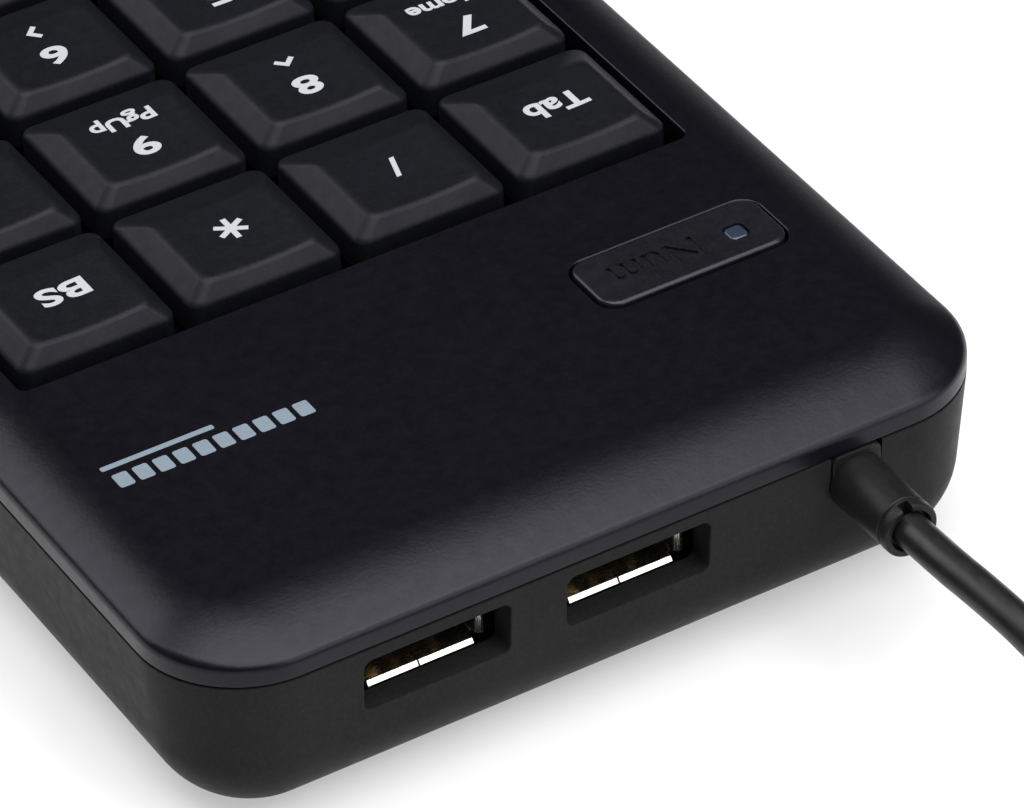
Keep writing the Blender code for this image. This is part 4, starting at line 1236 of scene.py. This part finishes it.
CHEVRON = {
    "up": [(-1.0, -0.45), (0.0, 0.5), (1.0, -0.45)],
    "down": [(-1.0, 0.45), (0.0, -0.5), (1.0, 0.45)],
    "left": [(0.45, 1.0), (-0.5, 0.0), (0.45, -1.0)],
    "right": [(-0.45, 1.0), (0.5, 0.0), (-0.45, -1.0)],
}
SINGLE = (-0.05, 1.0)
UPPER = (0.1, 2.88)
LOWER = (0.1, -1.9)
DIGIT_HEIGHT = 3.15
DIGIT_WIDTH = 1.4
WORD_HEIGHT = 2.9
NOTE_HEIGHT = 2.1
NOTE_WIDTH = 1.2
BOLD = 0.03
STAR_REACH = 1.75
STAR_STROKE = 0.62
CHEVRON_STROKE = 0.58

SINGLE_LEGENDS = {
    "key_tab": ("Tab", 1.15, 1.0),
    "key_backspace": ("BS", 1.4, 1.06),
    "key_enter": ("Enter", 1.05, 1.0),
}
SIGNS = {
    "key_divide": ("/", 3.2, (-0.05, 1.1)),
    "key_minus": ("−", 0.62, (-0.05, 1.1)),
    "key_plus": ("+", 2.9, (-0.05, 1.1)),
}
DIGITS = {
    "key_7": ("7", "Home"),
    "key_8": ("8", "up"),
    "key_9": ("9", "PgUp"),
    "key_4": ("4", "left"),
    "key_5": ("5", None),
    "key_6": ("6", "right"),
    "key_1": ("1", "End"),
    "key_2": ("2", "down"),
    "key_3": ("3", "PgDn"),
    "key_0": ("0", "Ins"),
    "key_00": ("00", None),
    "key_decimal": (".", "Del"),
}


def star_mesh(centre):
    """Six-armed star of three crossed strokes."""
    bm = None
    for turn in (30, 90, 150):
        angle = math.radians(turn)
        reach = Vector((math.cos(angle), math.sin(angle))) * STAR_REACH
        ends = [Vector(centre) - reach, Vector(centre) + reach]
        stroke = stroke_mesh(ends, STAR_STROKE)
        bm = stroke if bm is None else carve(bm, stroke, "UNION")
    return bm


def legend_mesh(node):
    if node == "key_multiply":
        return star_mesh((-0.15, 0.95))
    if node in SINGLE_LEGENDS:
        text, width, spacing = SINGLE_LEGENDS[node]
        return placed_text(text, BOLD, WORD_HEIGHT, SINGLE, width, spacing)
    if node in SIGNS:
        sign, height, place = SIGNS[node]
        return placed_text(sign, BOLD, height, place, like=sign)
    digit, note = DIGITS[node]
    bm = placed_text(digit, BOLD, DIGIT_HEIGHT, UPPER, DIGIT_WIDTH)
    if note in CHEVRON:
        points = [(x + LOWER[0], y + LOWER[1]) for x, y in CHEVRON[note]]
        join(bm, stroke_mesh(points, CHEVRON_STROKE))
    elif note:
        join(bm, placed_text(note, BOLD, NOTE_HEIGHT, LOWER, NOTE_WIDTH))
    return bm


def make_legends():
    for node in KEY_NODES:
        centre = middle(node)
        if key_rows(node) > 1:
            centre.y += PITCH / 2
        bm = lay_on_key(legend_mesh(node))
        bmesh.ops.translate(bm, vec=(centre.x, centre.y, FACET_Z), verts=bm.verts)
        piece(node.replace("key_", "legend_"), bm, "legend_print", node + "_body", sharp=20.0)


def make_panel_mark():
    """Printed mark on the panel: a row of ten small squares over a short bar."""
    count = 10
    start_x = 15.6
    end_x = 37.7
    row_y = 46.15
    bar_middle = (31.6, 43.75)
    step = (end_x - start_x) / count
    bm = bmesh.new()
    for index in range(count):
        centre = (start_x + step * (index + 0.5), row_y)
        add_prism(bm, rounded_outline(0.82, 1.1, 0.28, 4, centre), -PRINT_DEPTH, PRINT_HEIGHT)
    bar = rounded_outline(6.2, 0.34, 0.2, 4, bar_middle)
    add_prism(bm, bar, -PRINT_DEPTH, PRINT_HEIGHT)
    bmesh.ops.translate(bm, vec=(0.0, 0.0, PANEL_Z), verts=bm.verts)
    piece("panel_mark", bm, "panel_print", sharp=20.0)


# ---------------------------------------------------------------- Num button and lamp


def soften_engraving(bm, width):
    """Chamfers the upper edges of letters cut into the button's flat top."""
    bm.normal_update()
    letters = NUM_HALF_X - 1.0
    edges = []
    for edge in bm.edges:
        flat = all(abs(vert.co.z - NUM_TOP_Z) < 1e-4 for vert in edge.verts)
        centre = (edge.verts[0].co + edge.verts[1].co) / 2
        inside = abs(centre.x - NUM.x) < letters and abs(centre.y - NUM.y) < NUM_HALF_Y - 1.0
        beside_lamp = abs(centre.x - LAMP.x) < LAMP_SIZE
        upright = [abs(face.normal.z) < 0.5 for face in edge.link_faces]
        if flat and inside and not beside_lamp and len(upright) == 2 and any(upright):
            edges.append(edge)
    bmesh.ops.bevel(bm, geom=edges, offset=width, segments=2, affect="EDGES", clamp_overlap=True)


def make_num_button():
    """Flanged button with a soft rim; its name is engraved, and a window lets the lamp shine out."""

    def ring(inset, z):
        radius = max(NUM_CORNER - inset, 0.4)
        return at_height(rounded_outline(NUM_HALF_X - inset, NUM_HALF_Y - inset, radius, 10), z)

    rings = [
        ring(-NUM_FLANGE, NUM_FLANGE_BOTTOM_Z),
        ring(-NUM_FLANGE, NUM_FLANGE_TOP_Z),
        ring(0.0, NUM_FLANGE_TOP_Z),
    ]
    top = ring(0.0, NUM_TOP_Z)
    rings += curved_rings(ring(0.0, NUM_TOP_Z - 0.42), top, ring(NUM_EDGE, NUM_TOP_Z), 7)
    bm = lofted(rings)
    bmesh.ops.translate(bm, vec=(NUM.x, NUM.y, 0.0), verts=bm.verts)

    stem = bmesh.new()
    stem_bottom = highest("num_switch_plunger").z + GAP
    add_column(stem, (NUM.x, NUM.y), NUM_STEM_RADIUS, stem_bottom, NUM_FLANGE_TOP_Z - 0.1)
    bm = carve(bm, stem, "UNION")

    slack = LAMP_SIZE / 2 + 0.14
    window = bmesh.new()
    hole = rounded_outline(slack, slack, 0.7, 6, (LAMP.x, LAMP.y))
    add_prism(window, hole, NUM_FLANGE_BOTTOM_Z - 1.0, NUM_TOP_Z + 1.0)
    bm = carve(bm, window)

    name = placed_text("Num", 0.008, NUM_NAME_HEIGHT, NUM_NAME_MIDDLE, 1.02)
    for vert in name.verts:
        vert.co.z = NUM_TOP_Z + (1.0 if vert.co.z > 0 else -ENGRAVING_DEPTH)
    bm = carve(bm, name)
    soften_engraving(bm, ENGRAVING_CHAMFER)
    piece("num_key", bm, "num_button", "num_button_body", ("num_button",))


def make_lamp_window():
    half = LAMP_SIZE / 2
    top = NUM_TOP_Z - 0.06

    def ring(inset, z):
        outline = rounded_outline(half - inset, half - inset, 0.6 - inset, 6, (LAMP.x, LAMP.y))
        return at_height(outline, z)

    rings = [ring(0.15, lowest("num_light_pipe").z), ring(0.0, lowest("num_light_pipe").z + 0.2)]
    rings += curved_rings(ring(0.0, top - 0.25), ring(0.0, top), ring(0.25, top), 4)
    bm = lofted(rings)
    piece("lamp_window", bm, "lamp_window", "num_button_body", ("num_light_pipe",))


# ---------------------------------------------------------------- USB sockets


def make_usb_shell(side, port_x):
    """Folded metal shell: flared lips, a seam under it, and spring tabs in its floor and ceiling."""
    flare_y = SHELL_MOUTH_Y - LIP_LENGTH
    past_mouth = SHELL_MOUTH_Y + 1.0

    def ring(grow, y):
        half_x = SHELL_HALF_X + grow
        half_z = SHELL_HALF_Z + grow
        return along_y(rounded_outline(half_x, half_z, SHELL_CORNER + grow, 6), y, port_x, SHELL_Z)

    rings = [ring(0.0, SHELL_REAR_Y)]
    bend = ring(0.0, flare_y + 0.35)
    rings += curved_rings(ring(0.0, flare_y), bend, ring(0.12, flare_y + 0.5), 3)
    rings.append(ring(LIP_FLARE, SHELL_MOUTH_Y - 0.08))
    rings.append(ring(LIP_FLARE - 0.36, SHELL_MOUTH_Y))
    corner = ring(0.08 - SHELL_WALL, SHELL_MOUTH_Y - 0.28)
    bend = ring(-SHELL_WALL, SHELL_MOUTH_Y - 0.34)
    rings += curved_rings(corner, bend, ring(-SHELL_WALL, SHELL_MOUTH_Y - 0.45), 3)
    rings.append(ring(-SHELL_WALL, SHELL_REAR_Y + SHELL_WALL))
    bm = lofted(rings)

    taken = bmesh.new()
    tabs = bmesh.new()
    for side_z in (-1, 1):
        corner_z = SHELL_Z + side_z * (SHELL_HALF_Z - 0.1)
        for corner_x in (port_x - SHELL_HALF_X + 0.1, port_x + SHELL_HALF_X - 0.1):
            add_bar(taken, corner_x, corner_z, 0.62, 0.62, flare_y - 0.1, past_mouth)
        wall_z = SHELL_Z + side_z * (SHELL_HALF_Z - SHELL_WALL / 2)
        for tab_x in SPRING_TABS_X:
            add_bar(taken, port_x + tab_x, wall_z, 1.15, 0.5, flare_y - 7.2, flare_y - 2.0)
            add_spring_tab(tabs, port_x + tab_x, flare_y - 7.4, side_z)
    seam_z = SHELL_Z - SHELL_HALF_Z + SHELL_WALL - 0.475
    add_bar(taken, port_x + 0.2, seam_z, 0.1, 0.875, SHELL_REAR_Y + 3.0, past_mouth)
    bm = carve(bm, taken)
    join(bm, tabs)
    piece("usb_metal_" + side, bm, "socket_metal", nodes=("usb_shell_" + side,))


def add_spring_tab(bm, x, root_y, side_z):
    """Tongue of spring metal, bent towards the plug and rolled up again at its free end."""
    line = [(0.0, 0.0), (1.6, 0.05), (3.2, 0.42), (4.2, 0.62), (4.7, 0.55), (5.05, 0.3)]
    thickness = 0.3
    sections = []
    for along, rise in line:
        z = SHELL_Z + side_z * (SHELL_HALF_Z - SHELL_WALL - rise)
        half = 0.85 if along < 4.9 else 0.7
        sections.append(strip_section(x, half, root_y + along, z, z + side_z * thickness))
    loft(bm, sections)


def make_usb_tongue(side, port_x):
    """Moulded tongue in the upper half of the socket, with four contacts along its underside."""
    node = "usb_tongue_" + side
    low = lowest(node)
    high = highest(node)
    half_x = (high.x - low.x) / 2
    block = SHELL_HALF_Z - SHELL_WALL - GAP
    centre_z = SHELL_Z + SHELL_HALF_Z - SHELL_WALL - 0.55 - TONGUE_HALF_Z
    rings = []
    for inset, half_z, y, z in (
        (0.0, block, low.y, SHELL_Z),
        (0.0, block, low.y + 2.0, SHELL_Z),
        (0.0, TONGUE_HALF_Z, low.y + 2.0, centre_z),
        (0.0, TONGUE_HALF_Z, high.y - 0.6, centre_z),
        (0.18, TONGUE_HALF_Z - 0.2, high.y - 0.2, centre_z),
        (0.4, TONGUE_HALF_Z - 0.4, high.y, centre_z),
    ):
        rings.append(along_y(rounded_outline(half_x - inset, half_z, 0.18, 3), y, port_x, z))
    bm = lofted(rings)
    face_z = centre_z - TONGUE_HALF_Z
    line = [(low.y + 2.4, 0.18), (high.y - 5.2, 0.1), (high.y - 3.4, -0.32)]
    line += [(high.y - 2.4, -0.3), (high.y - 1.4, 0.12)]
    grooves = bmesh.new()
    contacts = bmesh.new()
    for contact_x in CONTACTS_X:
        x = port_x + contact_x
        add_bar(grooves, x, face_z - 0.375, 0.62, 0.625, low.y + 2.2, high.y - 1.0)
        sections = []
        for y, rise in line:
            sections.append(strip_section(x, 0.5, y, face_z + rise, face_z + rise + 0.15))
        loft(contacts, sections)
    bm = carve(bm, grooves)
    piece("usb_insert_" + side, bm, "socket_tongue", nodes=(node,))
    piece("usb_contacts_" + side, contacts, "contact_gold")


# ---------------------------------------------------------------- tie and plug


def make_tie():
    """Strap once round the bundle of turns, with ribs across it."""
    half_width = COIL_ACROSS * CORD_RADIUS + 0.4
    half_height = COIL_LAYERS * CORD_RADIUS + 0.25
    centre_z = COIL_LAYERS * CORD_RADIUS
    rings = []
    profile = [(0.0, -3.0), (0.55, -3.0), (0.8, -2.75), (0.8, -1.9), (0.62, -1.6), (0.62, 1.6)]
    profile += [(0.8, 1.9), (0.8, 2.75), (0.55, 3.0), (0.0, 3.0)]
    for grow, side in profile:
        outline = rounded_outline(half_width + grow, half_height + grow, 1.4 + grow, 8)
        rings.append(along_y(outline, side, COIL_RADIUS, centre_z))
    bm = lofted(rings, closed=True)
    turn = Matrix.Rotation(TIE_ANGLE, 4, "Z")
    bmesh.ops.transform(bm, matrix=coil_frame() @ turn, verts=bm.verts)
    return piece("cord_tie", bm, "boot", nodes=("coil_tie",))


def plug_ring(half_x, half_z, radius, distance, steps=8, lift=0.0):
    """Section of the plug at a distance from its cord end; it points back towards the keypad."""
    outline = rounded_outline(half_x, half_z, radius, steps)
    return along_y(outline, PLUG_Y - distance, PLUG_X, PLUG_Z + lift)


def make_plug_grip():
    """Ribbed neck round the cord and a flattened body with five grooves on each face."""
    neck = [(2.45, 0.0), (2.6, 0.3), (2.75, 1.6), (2.45, 1.9), (2.45, 2.5), (2.85, 2.8)]
    neck += [(2.85, 4.3), (2.5, 4.6), (2.5, 5.2), (2.95, 5.5)]
    sections = [(radius, radius, radius - 0.05, distance) for radius, distance in neck]
    sections += [
        (3.0, 3.0, 2.9, 7.0),
        (4.1, 3.2, 2.7, 8.1),
        (5.6, 3.5, 2.5, 9.4),
        (6.7, 3.75, 2.3, 11.0),
        (7.4, 3.9, 2.1, 13.0),
        (7.7, 4.05, 2.0, 16.0),
        (7.8, 4.1, 2.0, 20.0),
        (7.8, 4.1, 2.0, PLUG_BODY_LENGTH - 0.9),
        (7.72, 4.02, 1.95, PLUG_BODY_LENGTH - 0.5),
        (7.5, 3.8, 1.8, PLUG_BODY_LENGTH - 0.15),
        (7.2, 3.5, 1.6, PLUG_BODY_LENGTH),
    ]
    grooves = bmesh.new()
    for side_z in (-1, 1):
        for index in range(5):
            y = PLUG_Y - 17.5 - index * 1.7
            add_bar(grooves, PLUG_X, PLUG_Z + side_z * 4.1, 4.6, 0.28, y - 0.35, y + 0.35)
    bm = carve(lofted([plug_ring(*values) for values in sections]), grooves)
    return piece("plug_grip", bm, "plug_body", nodes=("plug_overmould",))


def make_plug_shell():
    """Metal tube with a seam under it and two latch holes in each face."""
    rings = []
    for inset, back in ((0.0, PLUG_SHELL_LENGTH), (0.0, 0.14), (0.04, 0.04), (0.14, 0.0)):
        rings.append(plug_ring(6.0 - inset, 2.25 - inset, 0.5, PLUG_SHELL_END - back, 5))
    for distance in (PLUG_SHELL_END, PLUG_SHELL_START + 0.4):
        rings.append(plug_ring(5.7, 1.95, 0.3, distance, 5))
    holes = bmesh.new()
    root_y = PLUG_Y - PLUG_SHELL_START
    for side_x in (-2.3, 2.3):
        for side_z in (-2.1, 2.1):
            place = (PLUG_X + side_x, PLUG_Z + side_z)
            add_bar(holes, *place, 1.1, 0.4, root_y - 6.6, root_y - 4.6)
    tip_y = PLUG_Y - PLUG_SHELL_END - 1.0
    add_bar(holes, PLUG_X, PLUG_Z - 2.35, 0.08, 0.65, tip_y, root_y - 1.0)
    return piece("plug_metal", carve(lofted(rings), holes), "socket_metal", nodes=("plug_shell",))


def make_plug_insert():
    """Tongue in the lower half of the tube, with four contacts on it."""
    tip = PLUG_SHELL_END - 0.5
    top_z = 0.1
    half_z = 0.85
    rings = []
    for inset, distance in ((0.25, tip), (0.0, tip - 0.3), (0.0, PLUG_SHELL_START + 0.4 + GAP)):
        half_x = 5.3 - inset
        rings.append(plug_ring(half_x, half_z - inset, 0.2, distance, 3, top_z - half_z))
    contacts = bmesh.new()
    for contact_x, reach in zip(CONTACTS_X, (7.4, 6.4, 6.4, 7.4)):
        place = (PLUG_X + contact_x, PLUG_Y - tip + 1.2 + reach / 2)
        outline = rounded_outline(0.5, reach / 2, 0.2, 3, place)
        add_prism(contacts, outline, PLUG_Z + top_z - 0.1, PLUG_Z + top_z + 0.06)
    insert = piece("plug_insert", lofted(rings), "white_plastic", nodes=("plug_tongue",))
    return [insert, piece("plug_contacts", contacts, "contact_gold")]


def make_plug():
    return [make_plug_grip(), make_plug_shell(), *make_plug_insert()]


# ---------------------------------------------------------------- feet and screws


def make_feet():
    for name in FOOT_NAMES:
        place = middle("rubber_foot_" + name)
        profile = rounded_profile(
            [(0.9, 0.12), (FOOT_RADIUS - 1.2, 0.0), (FOOT_RADIUS, 0.0), (FOOT_RADIUS, FOOT_HEIGHT)],
            (0.5, 0.4),
        )
        bm = bmesh.new()
        add_turned(bm, profile, (place.x, place.y), 64)
        piece("foot_" + name, bm, "foot_rubber", nodes=("rubber_foot_" + name,))


def screw_profile():
    """Radii and heights from the domed head up the shank, whose ribs stand for a thread."""
    head = SCREW_HEAD_RADIUS
    core = SCREW_RADIUS - 0.2
    dome = [(0.4, 0.02), (head - 0.9, 0.04), (head - 0.4, 0.18), (head - 0.1, 0.45), (head, 0.75)]
    profile = [(radius, SCREW_HEAD_Z + rise) for radius, rise in dome]
    profile += [(head, SCREW_HEAD_TOP_Z), (core, SCREW_HEAD_TOP_Z)]
    z = SCREW_HEAD_TOP_Z
    while z < SCREW_TOP_Z - 1.6:
        profile += [(core, z + 0.25), (SCREW_RADIUS, z + 0.5), (core, z + 0.75)]
        z += 0.9
    profile.append((0.3, SCREW_TOP_Z))
    return profile


def cross_slot(place, half_x, half_y):
    """One slot of the cross in a screw's head, which narrows towards its bottom."""
    rings = []
    for share_x, share_y, rise in ((1.0, 1.0, -0.5), (1.0, 1.0, 0.0), (0.5, 0.6, 1.2)):
        corners = []
        for side_x, side_y in ((1, 1), (-1, 1), (-1, -1), (1, -1)):
            x = place[0] + side_x * half_x * share_x
            corners.append((x, place[1] + side_y * half_y * share_y))
        rings.append(at_height(corners, SCREW_HEAD_Z + rise))
    return lofted(rings)


def make_screws():
    for name in FOOT_NAMES:
        place = screw_place(name)
        bm = bmesh.new()
        add_turned(bm, screw_profile(), place, 48)
        bm = carve(bm, cross_slot(place, 1.4, 0.28))
        bm = carve(bm, cross_slot(place, 0.28, 1.4))
        piece("fastener_" + name, bm, "screw_steel", nodes=("screw_" + name,))


# ---------------------------------------------------------------- CAD nodes that stay

INNER_LOOKS = {
    "key_frame": "key_frame",
    "membrane_upper": "foil",
    "membrane_spacer": "foil",
    "membrane_lower": "foil",
    "backing_plate": "inner_steel",
    "main_pcb": "circuit_board",
    "hub_chip": "chip",
    "keypad_controller_chip": "chip",
    "crystal": "crystal_can",
    "membrane_connector": "white_plastic",
    "num_led": "led_lens",
    "num_switch_body": "chip",
    "num_switch_plunger": "white_plastic",
}


def dress_inner_nodes():
    for node, look in INNER_LOOKS.items():
        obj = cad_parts[node]
        obj.data.materials.clear()
        obj.data.materials.append(LOOKS[look])


# ---------------------------------------------------------------- stage

FLOOR_SHADE = 0.42
FLOOR_GLOW = 0.42
WORLD_GLOW = 0.03
TOP_LIGHT = 36.0
FRONT_LIGHT = 10.5
REAR_LIGHT = 15.0


def make_floor():
    mat, tree, shader = begin("floor_white", 0.2)
    paper = noise(tree, 300.0)
    white = (FLOOR_SHADE, FLOOR_SHADE, FLOOR_SHADE)
    shade = mottled(tree, paper, white, 1.0, 1.0 + 0.01 / FLOOR_SHADE)
    cover(tree, shader, shade, spread(tree, paper, 0.85, 0.95))
    shader.inputs["Emission Color"].default_value = (1.0, 1.0, 1.0, 1.0)
    shader.inputs["Emission Strength"].default_value = FLOOR_GLOW
    bm = bmesh.new()
    bmesh.ops.create_grid(bm, x_segments=2, y_segments=2, size=2.5)
    mesh = bpy.data.meshes.new("floor")
    bm.to_mesh(mesh)
    bm.free()
    mesh.materials.append(mat)
    add_object("floor", mesh)


def add_light(name, place, target, size_x, size_y, power):
    data = bpy.data.lights.new(name, "AREA")
    data.shape = "RECTANGLE"
    data.size = size_x
    data.size_y = size_y
    data.energy = power
    light = add_object(name, data)
    light.location = place
    light.rotation_mode = "QUATERNION"
    aim = Vector(target) - Vector(place)
    light.rotation_quaternion = aim.to_track_quat("-Z", "Y")


def make_lights():
    target = (0.0, 0.03, 0.0)
    add_light("overhead", (0.0, 0.43, 1.2), (0.0, 0.43, 0.0), 1.4, 1.6, TOP_LIGHT)
    add_light("right_front", (0.68, -0.95, 0.88), target, 1.0, 1.0, FRONT_LIGHT)
    add_light("left_rear", (-0.62, 1.15, 0.75), target, 1.3, 1.3, REAR_LIGHT)
    world = bpy.data.worlds.new("studio")
    world.use_nodes = True
    background = world.node_tree.nodes["Background"]
    background.inputs["Color"].default_value = (1.0, 1.0, 1.0, 1.0)
    background.inputs["Strength"].default_value = WORLD_GLOW
    bpy.context.scene.world = world
    bpy.context.scene.view_settings.view_transform = "Standard"


# ---------------------------------------------------------------- the whole scene


make_camera()
cord, cord_length = make_cord()
boot = make_boot()
tie = make_tie()
plug = make_plug()
make_top_cover()
make_bottom_cover()
make_keys()
make_dome_sheet()
make_domes()
make_legends()
make_panel_mark()
make_num_button()
make_lamp_window()
for side, port_x in PORT_X.items():
    make_usb_shell(side, port_x)
    make_usb_tongue(side, port_x)
make_feet()
make_screws()
dress_inner_nodes()
make_floor()
make_lights()
